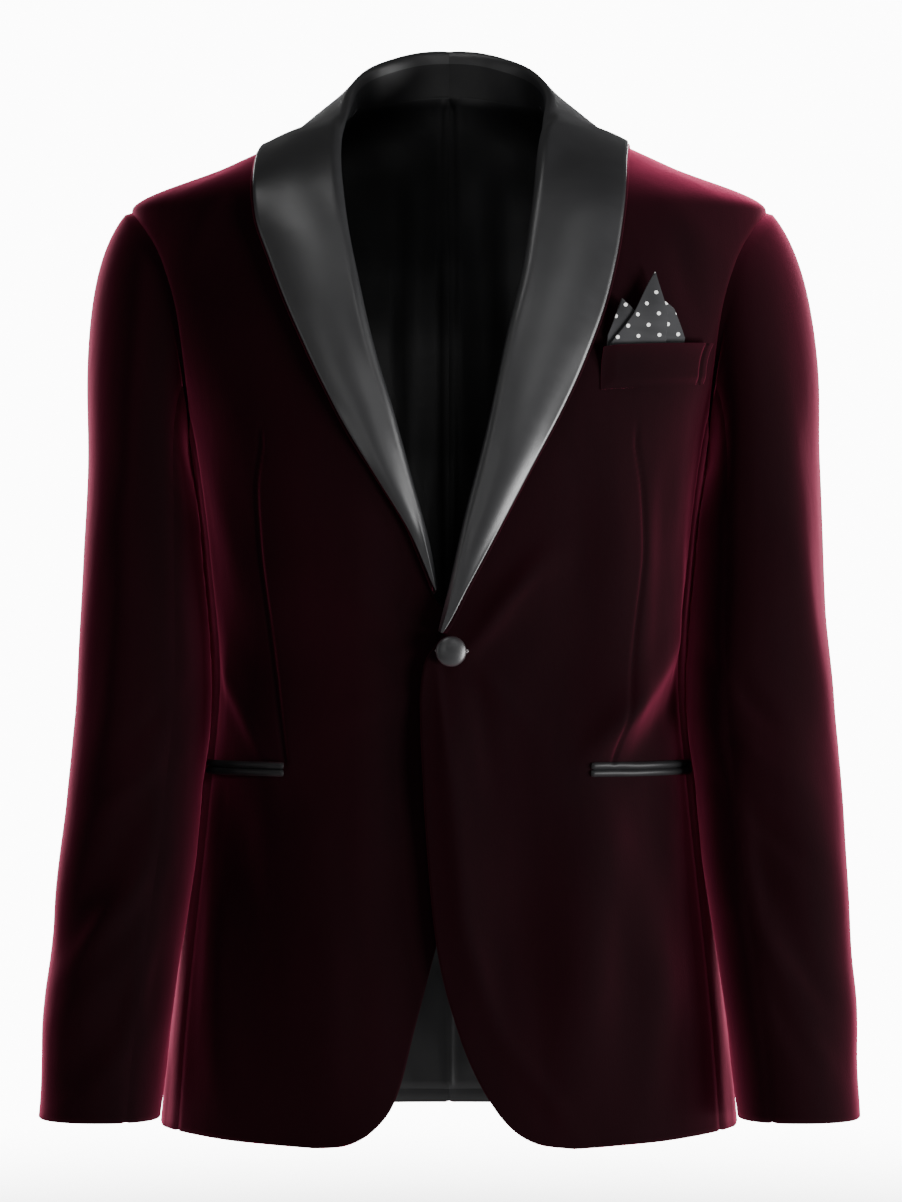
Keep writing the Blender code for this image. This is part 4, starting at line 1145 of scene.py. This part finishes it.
def velvet_cloth():
    """Cut pile: almost black head-on, with a wine-red sheen where the light grazes it."""
    cloth = Cloth(
        "burgundy_velvet", sheen=1.0, sheen_roughness=0.39, sheen_tint=VELVET_SHEEN, specular=0.05
    )
    place = cloth.node("ShaderNodeTexCoord").outputs["Object"]
    brushed, streaks, nap = (cloth.noise(place, name) for name in ("brushed", "streaks", "nap"))
    mixed = cloth.plus(cloth.math("MULTIPLY", brushed, 1 - STREAK_SHARE), streaks, STREAK_SHARE)
    cloth.colour(cloth.between(mixed, VELVET_DARK, VELVET_LIGHT, low=0.32, high=0.68))
    cloth.rough(nap, low=0.80, high=0.98)
    pile = cloth.plus(cloth.plus(nap, streaks, STREAK_RISE), brushed, BRUSHED_RISE)
    cloth.bump(pile, distance=0.0003, strength=0.35)
    return cloth.material


def woven(name, dark, light, smooth, dull, **values):
    """Smooth warp-faced cloth: fine ribs across, faint slubs along the thread."""
    cloth = Cloth(name, **values)
    flat = cloth.node("ShaderNodeUVMap", uv_map="flat_cut").outputs["UV"]
    ribs = cloth.node("ShaderNodeTexWave", bands_direction="Y", Scale=RIB_SCALE, Distortion=0.6)
    cloth.link(flat, ribs.inputs["Vector"])
    slubs, clouds = cloth.noise(flat, "slubs"), cloth.noise(flat, "clouds")
    cloth.colour(cloth.between(clouds, dark, light))
    cloth.rough(slubs, smooth, dull)
    cloth.bump(cloth.math("ADD", ribs.outputs["Fac"], slubs), distance=0.00004, strength=0.5)
    return cloth


def satin_cloth():
    return woven(
        "black_satin", SATIN_DARK, SATIN_LIGHT, smooth=0.34, dull=0.42,
        sheen=0.02, sheen_roughness=0.45, sheen_tint=SATIN_SHEEN, specular=0.75,
    ).material


def shaded_satin_cloth():
    """A darker, duller copy of the satin for the hip jets: its darker colour is painted shade."""
    # Painted shade: the lining's and satin's darker colours stand in for less light on the jets;
    # roughness and specular are lowered as well
    cloth = woven("shaded_black_satin", LINING_DARK, SATIN_DARK, smooth=0.46, dull=0.58, specular=0.30)
    return cloth.material


def lining_cloth():
    cloth = woven("black_lining", LINING_DARK, LINING_LIGHT, smooth=0.36, dull=0.50, specular=0.40)
    return cloth.material


def dotted_cloth():
    """Matt black cotton with white pin dots on a diagonal grid."""
    cloth = woven(
        "dotted_cotton", SQUARE_DARK, SQUARE_LIGHT, smooth=0.70, dull=0.90, sheen=0.2, specular=0.3
    )
    flat = cloth.node("ShaderNodeUVMap", uv_map="flat_cut").outputs["UV"]
    scale = (1 / DOT_PITCH, 1 / DOT_PITCH, 1)
    turned = cloth.node("ShaderNodeMapping", Rotation=(0, 0, DOT_TURN), Scale=scale)
    cloth.link(flat, turned.inputs["Vector"])
    cell = cloth.node("ShaderNodeVectorMath", operation="FRACTION")
    cloth.link(turned.outputs["Vector"], cell.inputs[0])
    middle = cloth.node("ShaderNodeVectorMath", operation="SUBTRACT")
    cloth.link(cell.outputs["Vector"], middle.inputs[0])
    middle.inputs[1].default_value = (0.5, 0.5, 0.0)
    away = cloth.node("ShaderNodeVectorMath", operation="LENGTH")
    cloth.link(middle.outputs["Vector"], away.inputs[0])
    dot = cloth.math("LESS_THAN", away.outputs["Value"], DOT_RADIUS / DOT_PITCH)
    ground = cloth.shader.inputs["Base Color"].links[0].from_socket
    mixed = cloth.node("ShaderNodeMix", data_type="RGBA")
    cloth.link(dot, mixed.inputs["Factor"])
    cloth.link(ground, mixed.inputs[MIX_FIRST])
    mixed.inputs[MIX_SECOND].default_value = DOT_WHITE
    cloth.colour(mixed.outputs[MIX_RESULT])
    return cloth.material


def thread_cloth():
    cloth = Cloth("grey_thread", sheen=0.3)
    place = cloth.node("ShaderNodeTexCoord").outputs["Object"]
    twist = cloth.noise(place, "twist")
    cloth.colour(cloth.between(twist, SATIN_LIGHT, THREAD_GREY))
    cloth.rough(twist, low=0.5, high=0.8)
    cloth.bump(twist, distance=0.0001)
    return cloth.material


def panel_sheet(node, grid, side, cloths, out, rims):
    """A lined body panel on the form, sunk at its seams."""
    angle, z = grid[..., 0], grid[..., 1]
    out = out + seam_dip(form(angle, z), rims)
    outer, inner = on_form(angle, z, out), on_form(angle, z, out - VELVET)
    velvet, lining = cloths
    sheet(node, outer, inner, velvet, "velvet", side, rims, inside=lining)


def make_body(velvet, lining):
    cloths = velvet, lining
    for side in SIDES:
        grid = front_grid(side)
        out = front_out(side, grid[..., 0], grid[..., 1])
        panel_sheet(f"front_{side}", grid, side, cloths, out, (ACROSS_END, ALONG_END))
        grid = side_grid()
        off_seams = ramp(np.sin(math.pi * np.linspace(0, 1, len(grid))), 0, 1)[:, None]
        out = waves(grid[..., 0], grid[..., 1], WAVE_PHASES["side"]) * off_seams
        panel_sheet(f"side_{side}", grid, side, cloths, out, PANEL_SEAMS)
        grid = back_grid()
        x, z = form(grid[..., 0], grid[..., 1])[..., 0], grid[..., 1]
        out = fold_height(f"back_{side}", x, z) + waves(x, z, WAVE_PHASES["back"])
        out = out * off_rims(grid.shape[:2])
        panel_sheet(f"back_{side}", grid, side, cloths, out, PANEL_SEAMS)
        make_lining(side, lining)


def off_rims(shape):
    """1 inside a grid, falling to 0 at its rims, so that folds die out at the seams."""
    fades = [ramp(np.sin(math.pi * np.linspace(0, 1, n)), 0.0, FOLDS_OFF_RIM) for n in shape]
    return fades[0][:, None] * fades[1][None, :]


def make_lining(side, cloth):
    """The back lining: the back's points moved in, with soft wrinkles and a pressed centre seam."""
    grid = back_grid()
    rise = np.linspace(0, 1, BACK_GRID[1])[None, :]
    above_neck = LINING_ABOVE_NECK * rise**NECK_BAND_POWER * (grid[..., 0] > SIDE_ANGLE)
    grid[..., 1] += LINING_ABOVE_HEM * (1 - rise) ** HEM_BAND_POWER + above_neck
    angle, z = grid[..., 0], grid[..., 1]
    x = form(angle, z)[..., 0]
    wrinkles = fold_height("lining", x, z) + waves(x, z, WAVE_PHASES["lining"])
    inside = -(VELVET + LAYER_GAP + SEAM_DEPTH) - np.abs(wrinkles)
    centre_seam = LINING_SEAM_DEPTH * np.exp(-((x / LINING_SEAM_WIDTH) ** 2))
    outer = on_form(angle, z, inside - centre_seam)
    inner = on_form(angle, z, inside - centre_seam - LINING)
    sheet(f"lining_{side}", outer, inner, cloth, "lining", side, (ACROSS_END,))


def sleeve_points(side, start, end, across):
    """A sleeve panel's outside points and outward normals between two of the sleeve's seams."""
    turn = np.linspace(start, end, across)
    grid = sleeve_surface(side, turn)
    round_it = sleeve_surface(side, turn + TURN_NUDGE) - sleeve_surface(side, turn - TURN_NUDGE)
    normal = unit(np.cross(round_it, np.gradient(grid, axis=1)))
    x, z = grid[..., 0], grid[..., 2]
    below_cap = ramp(np.arange(SLEEVE_ROWS) / CAP_ROWS, *FOLDS_BELOW_CAP)[None, :]
    in_front = ramp(np.sin(turn), *FOLDS_IN_FRONT)[:, None]
    behind = fold_height(f"elbow_{side}", x, z) * (1 - in_front)
    height = fold_height(f"sleeve_{side}", x, z) * in_front + behind
    off_seam = ramp(np.minimum(turn - start, end - turn), 0, FOLD_OFF_SEAM)[:, None]
    height = height * below_cap * off_seam - waves(x, z, WAVE_PHASES["sleeve"] * in_front) * below_cap
    height = height + seam_dip(grid, SLEEVE_SEAMS)
    return grid + normal * (VELVET + height[..., None]), normal


def make_sleeves(velvet, lining):
    top = (BACK_SLEEVE_SEAM - 2 * math.pi, FRONT_SLEEVE_SEAM)
    under = (FRONT_SLEEVE_SEAM, BACK_SLEEVE_SEAM)
    for side in SIDES:
        for name, (start, end) in (("top", top), ("under", under)):
            outer, normal = sleeve_points(side, start, end, SLEEVE_ACROSS[name])
            inner = outer - normal * VELVET
            sheet(f"{name}_sleeve_{side}", outer, inner, velvet, "velvet", side,
                  SLEEVE_SEAMS, inside=lining)


def closed_at_back(rows, normal):
    """The collar half brought to the centre back, where its seam is pressed in."""
    near = np.exp(-((rows[..., :1] / SEAM_WIDTH) ** 2)) * (rows[..., 2:] > COLLAR_BACK_ABOVE)
    rows = rows - normal * SEAM_DEPTH * near
    rows[:, -1, 0] = 0.0
    return rows


def make_collar(satin, velvet, lining):
    """The satin collar, the low back of its stand given the darker lining cloth as painted shade, and
    the velvet undercollar.
    """
    for side in SIDES:
        rows = collar_sections(side)
        rows[0] += NECK_TUCK * np.exp(-(((rows[0, :, 1:2] - NECK_TUCK_Y) / NECK_TUCK_WIDE) ** 2))
        normal = section_normals(rows)
        below = closed_at_back(rows - normal * SATIN, normal)
        made = sheet(f"collar_{side}", closed_at_back(rows, normal), below, satin, "satin", side,
                     (ALONG_END,))
        # Painted shade: the low rows of the stand at the back take the darker lining cloth in place of
        # the shade inside the neck
        faced = np.zeros(len(made.data.polygons), bool)
        shade_rows = faced[:STAND_SHADE_ROWS * (COLLAR_STATIONS - 1)].reshape(STAND_SHADE_ROWS, -1)
        shade_rows[:, rows[0, 1:, 2] > COLLAR_BACK_ABOVE] = True
        face_with(made, lining, faced)
        last = slice(-FALL_STEPS - 1, None)
        fall = rows[last] - normal[last] * (SATIN + UNDER_GAP)
        fall[-1] += unit(fall[-1] - fall[-2]) * UNDER_EDGE
        lower = fall - normal[last] * UNDER_THICKNESS
        fall, lower = (closed_at_back(points, normal[last])[1:] for points in (fall, lower))
        sheet(f"undercollar_{side}", fall, lower, velvet, "velvet", side,
              (ALONG_END,))


def make_breast_pocket(velvet, square):
    welt = BREAST_WELT
    across = np.linspace(0, 1, WELT_GRID[0])[:, None]
    down = np.linspace(0, 1, WELT_GRID[1])[None, :]
    x = welt.x0 + (welt.x1 - welt.x0) * across + 0 * down
    z = welt.top_z0 + (welt.top_z1 - welt.top_z0) * across - welt.height * down
    low = WELT_GAP + (1 - down) ** 3 * POCKET_MOUTH
    stitched = np.exp(-(((welt.x1 - WELT_STITCH_IN - x) / WELT_STITCH_WIDTH) ** 2))
    sunk = np.maximum(ramp(down, WELT_SUNK_BELOW, 1.0), ramp(1 - across, WELT_SUNK_ENDS, 1.0))
    rise = welt.thickness * (1 - WELT_SUNK * sunk - WELT_STITCH * stitched)
    outer, inner = on_front("left", x, z, low + rise), on_front("left", x, z, low)
    sheet("breast_welt", outer, inner, velvet, "velvet", "left",
          (ALONG_END, ACROSS_START))
    for name, peaks in SQUARE_PEAKS.items():
        outline = along(peaks, SQUARE_STEPS * len(peaks))
        up = np.linspace(0, 1, SQUARE_ROWS)[None, :]
        base = np.linspace(peaks[0].x, peaks[-1].x, len(outline))[:, None]
        x = base + (outline[:, :1] - base) * up
        z = SQUARE_BASE_Z + (outline[:, 1:] - SQUARE_BASE_Z) * up
        rise = (z - SQUARE_BASE_Z) / SQUARE_HEIGHT
        ripple = SQUARE_RIPPLE * np.sin(2 * math.pi * x / SQUARE_RIPPLE_PITCH)
        puff = SQUARE_PUFF * np.sin(math.pi * np.clip(rise, 0, 1)) ** 2
        low = SQUARE_LIFTS[name] + rise * (ripple + SQUARE_LEAN * rise) + puff
        outer, inner = on_front("left", x, z, low + SQUARE_THICKNESS), on_front("left", x, z, low)
        sheet(f"pocket_square_{name}", outer, inner, square, "dotted_cotton", "left",
              width=peaks[-1].x - peaks[0].x, flat=np.stack([x, z], axis=-1))


def make_hip_pockets(satin):
    """Two rounded satin lips on each hip pocket."""
    for side in SIDES:
        start = float(angle_at(np.array(JET_FRONT_X[side]), np.array(JET_Z)))
        angle = np.linspace(start, JET_BACK_ANGLE, JET_GRID[0])[:, None]
        belly = np.sin(np.linspace(*JET_ROUND, JET_GRID[1]) * math.pi)[None, :]
        lips = ("upper", JET_GAP / 2, JET_HEIGHT), ("lower", -JET_HEIGHT, -JET_GAP / 2)
        for name, low, high in lips:
            z = JET_Z + np.linspace(low, high, JET_GRID[1])[None, :]
            stand_off = np.where(angle < FRONT_SEAM(z), front_out(side, angle, z), 0.0)
            outer = on_form(angle, z, stand_off + LAYER_GAP + JET_THICKNESS * belly)
            inner = on_form(angle, z, stand_off + LAYER_GAP / 4)
            made = shell(f"hip_jet_{name}_{side}_lip", outer, inner, satin, side)
            dress(made, "satin", f"hip_jet_{name}_{side}")


def make_button(satin, thread):
    """The covered button, a shallow dome facing out from the left front over its buttonhole."""
    rise = np.linspace(BUTTON_UNDERCUT, math.pi / 2, BUTTON_RINGS)
    radius = np.concatenate([[0.0], BUTTON_RADIUS * np.cos(rise)])
    height = np.concatenate([[0.0], BUTTON_HEIGHT * (BUTTON_RIM + (1 - BUTTON_RIM) * np.sin(rise))])
    turns = np.linspace(0, 2 * math.pi, BUTTON_TURNS, endpoint=False)
    radius, height = radius[1:-1, None], height[1:-1, None]
    rings = np.stack([radius * np.cos(turns), radius * np.sin(turns), height + 0 * turns], axis=-1)
    count, around = rings.shape[:2]
    index = np.arange(count * around).reshape(count, around)
    beside = np.roll(index, -1, axis=1)
    faces = np.stack([index[:-1], beside[:-1], beside[1:], index[1:]], axis=-1).reshape(-1, 4)
    faces = faces.tolist() + [index[0].tolist(), index[-1].tolist()]
    flat = rings[..., :2].reshape(-1, 2)
    made = meshed("button_dome", rings.reshape(-1, 3), faces, satin, flat)
    place = on_front("left", np.array(BUTTON_X), np.array(BUTTON_Z), BUTTON_STANDS_OFF)
    normal = form_normal(angle_at(np.array(BUTTON_X), np.array(BUTTON_Z)), np.array(BUTTON_Z))
    facing = Vector(normal).to_track_quat("Z", "Y").to_matrix().to_4x4()
    made.data.transform(Matrix.Translation(Vector(place)) @ facing)
    dress(made, "satin", "button")
    dress(make_buttonhole(thread), "satin")


def make_buttonhole(thread):
    """A ring of close stitches round the buttonhole, of which the outer end shows."""
    turn = np.linspace(0, 2 * math.pi, THREAD_POINTS * THREAD_STITCHES, endpoint=False)
    half = (BUTTONHOLE_X[1] - BUTTONHOLE_X[0]) / 2
    x = sum(BUTTONHOLE_X) / 2 + half * np.sign(np.cos(turn)) * np.abs(np.cos(turn)) ** BUTTONHOLE_POWER
    z = BUTTON_Z + BUTTONHOLE_HALF_HEIGHT * np.sin(turn)
    path = on_front("left", x, z, THREAD_RADIUS)
    radius = THREAD_RADIUS * (1 + THREAD_BUMP * np.cos(turn * THREAD_STITCHES))
    return tube("buttonhole_thread", path, radius, thread)


def tube(name, path, radius, cloth):
    """A closed ring of thread along a path."""
    forward = unit(np.roll(path, -1, axis=0) - np.roll(path, 1, axis=0))
    aside = unit(np.cross(forward, np.array([0.0, -1.0, 0.0])))
    up = np.cross(aside, forward)
    turns = np.linspace(0, 2 * math.pi, THREAD_SIDES, endpoint=False)
    spokes = aside[:, None] * np.cos(turns)[None, :, None] + up[:, None] * np.sin(turns)[None, :, None]
    rings = path[:, None] + spokes * radius[:, None, None]
    index = np.arange(len(path) * THREAD_SIDES).reshape(len(path), THREAD_SIDES)
    ahead = np.roll(index, -1, axis=0)
    faces = np.stack([index, np.roll(index, -1, axis=1), np.roll(ahead, -1, axis=1), ahead], axis=-1)
    return meshed(name, rings.reshape(-1, 3), faces.reshape(-1, 4), cloth)


# The photograph's frame and camera, with the jacket's side seams in the plane of the scale
PHOTO_SIZE = (902, 1202)
METRES_PER_PIXEL = 0.00071
CAMERA_DISTANCE = 3.5
CAMERA_X = 0.0014
CAMERA_Z = -0.348
SENSOR_HEIGHT = 24.0
FLOOR_Z = -0.86
FLOOR_RADIUS = 1.5
FLOOR_FADE = 0.2
FLOOR_SIDES = 96
Light = namedtuple("Light", "name place wide tall power target")
LIGHTS = [
    Light("key", (3.0, -0.8, -0.6), 0.8, 1.6, 80.0, (0.0, 0.0, -0.45)),
    Light("side_front", (2.6, -1.75, -1.3), 0.9, 1.2, 150.0, (0.0, 0.0, -0.25)),
    Light("front", (0.72, -2.9, 1.25), 0.6, 0.6, 10.0, (0.0, 0.0, -0.2)),
    Light("front_left", (-1.35, -2.9, -0.05), 0.5, 0.9, 7.0, (0.0, 0.0, -0.3)),
    Light("fill", (-1.35, -1.8, 2.7), 0.6, 0.9, 21.0, (0.0, 0.0, -0.2)),
    Light("side_left", (-3.0, -0.9, -0.2), 0.9, 1.8, 8.0, (0.0, 0.0, -0.4)),
    Light("back_left", (-1.5, 2.8, 0.2), 1.2, 1.6, 110.0, (0.0, 0.0, -0.35)),
    Light("back_right", (1.5, 2.8, 0.2), 1.2, 1.6, 110.0, (0.0, 0.0, -0.35)),
]
STUDIO_LIGHT = 0.09
STUDIO_WHITE = 12.0
FLOOR_PAPER = (0.90, 0.90, 0.90, 1.0)


def make_camera():
    data = bpy.data.cameras.new("camera")
    data.sensor_fit = "VERTICAL"
    data.sensor_height = SENSOR_HEIGHT
    data.lens = SENSOR_HEIGHT * CAMERA_DISTANCE / (PHOTO_SIZE[1] * METRES_PER_PIXEL)
    made = bpy.data.objects.new("camera", data)
    made.location = (CAMERA_X, -CAMERA_DISTANCE, CAMERA_Z)
    made.rotation_euler = (math.pi / 2, 0, 0)
    bpy.context.scene.collection.objects.link(made)
    bpy.context.scene.camera = made


def make_lights():
    for light in LIGHTS:
        data = bpy.data.lights.new(light.name, "AREA")
        data.shape = "RECTANGLE"
        data.size = light.wide
        data.size_y = light.tall
        data.energy = light.power
        made = bpy.data.objects.new(light.name, data)
        made.location = light.place
        made.rotation_euler = (Vector(light.target) - made.location).to_track_quat("-Z", "Y").to_euler()
        bpy.context.scene.collection.objects.link(made)
    make_studio()


def make_studio():
    """A white studio all round, which the camera sees brighter than it lights the cloth."""
    world = bpy.data.worlds.new("studio")
    world.use_nodes = True
    tree = world.node_tree
    soft = tree.nodes["Background"]
    soft.inputs["Color"].default_value = (1.0, 1.0, 1.0, 1.0)
    soft.inputs["Strength"].default_value = STUDIO_LIGHT
    white = tree.nodes.new("ShaderNodeBackground")
    white.inputs["Color"].default_value = (1.0, 1.0, 1.0, 1.0)
    white.inputs["Strength"].default_value = STUDIO_WHITE
    seen = tree.nodes.new("ShaderNodeLightPath")
    mixed = tree.nodes.new("ShaderNodeMixShader")
    tree.links.new(seen.outputs["Is Camera Ray"], mixed.inputs["Fac"])
    tree.links.new(soft.outputs["Background"], mixed.inputs[1])
    tree.links.new(white.outputs["Background"], mixed.inputs[2])
    tree.links.new(mixed.outputs["Shader"], tree.nodes["World Output"].inputs["Surface"])
    bpy.context.scene.world = world


def make_stage():
    """A round pale floor that fades out into the white studio."""
    mesh = bmesh.new()
    bmesh.ops.create_circle(mesh, cap_ends=True, segments=FLOOR_SIDES, radius=FLOOR_RADIUS)
    data = bpy.data.meshes.new("floor")
    mesh.to_mesh(data)
    mesh.free()
    paper = Cloth("floor_paper", base_color=FLOOR_PAPER, roughness=0.9)
    place = paper.node("ShaderNodeTexCoord").outputs["Object"]
    away = paper.node("ShaderNodeVectorMath", operation="LENGTH")
    paper.link(place, away.inputs[0])
    fade = paper.node("ShaderNodeMapRange", interpolation_type="SMOOTHSTEP")
    fade.inputs["From Min"].default_value = FLOOR_FADE
    fade.inputs["From Max"].default_value = FLOOR_RADIUS
    paper.link(away.outputs["Value"], fade.inputs["Value"])
    mixed = paper.node("ShaderNodeMixShader")
    paper.link(fade.outputs["Result"], mixed.inputs["Fac"])
    paper.link(paper.shader.outputs["BSDF"], mixed.inputs[1])
    paper.link(paper.node("ShaderNodeBsdfTransparent").outputs["BSDF"], mixed.inputs[2])
    paper.link(mixed.outputs["Shader"], paper.tree.nodes["Material Output"].inputs["Surface"])
    data.materials.append(paper.material)
    made = bpy.data.objects.new("floor", data)
    made.location = (0.0, 0.0, FLOOR_Z)
    bpy.context.scene.collection.objects.link(made)
    made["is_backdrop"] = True


def main():
    velvet, satin, lining = velvet_cloth(), satin_cloth(), lining_cloth()
    make_camera()
    make_lights()
    make_stage()
    make_body(velvet, lining)
    make_sleeves(velvet, lining)
    make_collar(satin, velvet, lining)
    make_breast_pocket(velvet, dotted_cloth())
    # The hip jets take the darker copy of the satin, as painted shade
    make_hip_pockets(shaded_satin_cloth())
    make_button(satin, thread_cloth())


main()

boxes = {"cad": CAD_BOX, "visual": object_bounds()}
{name: [list(map(float, corner)) for corner in box] for name, box in boxes.items()}
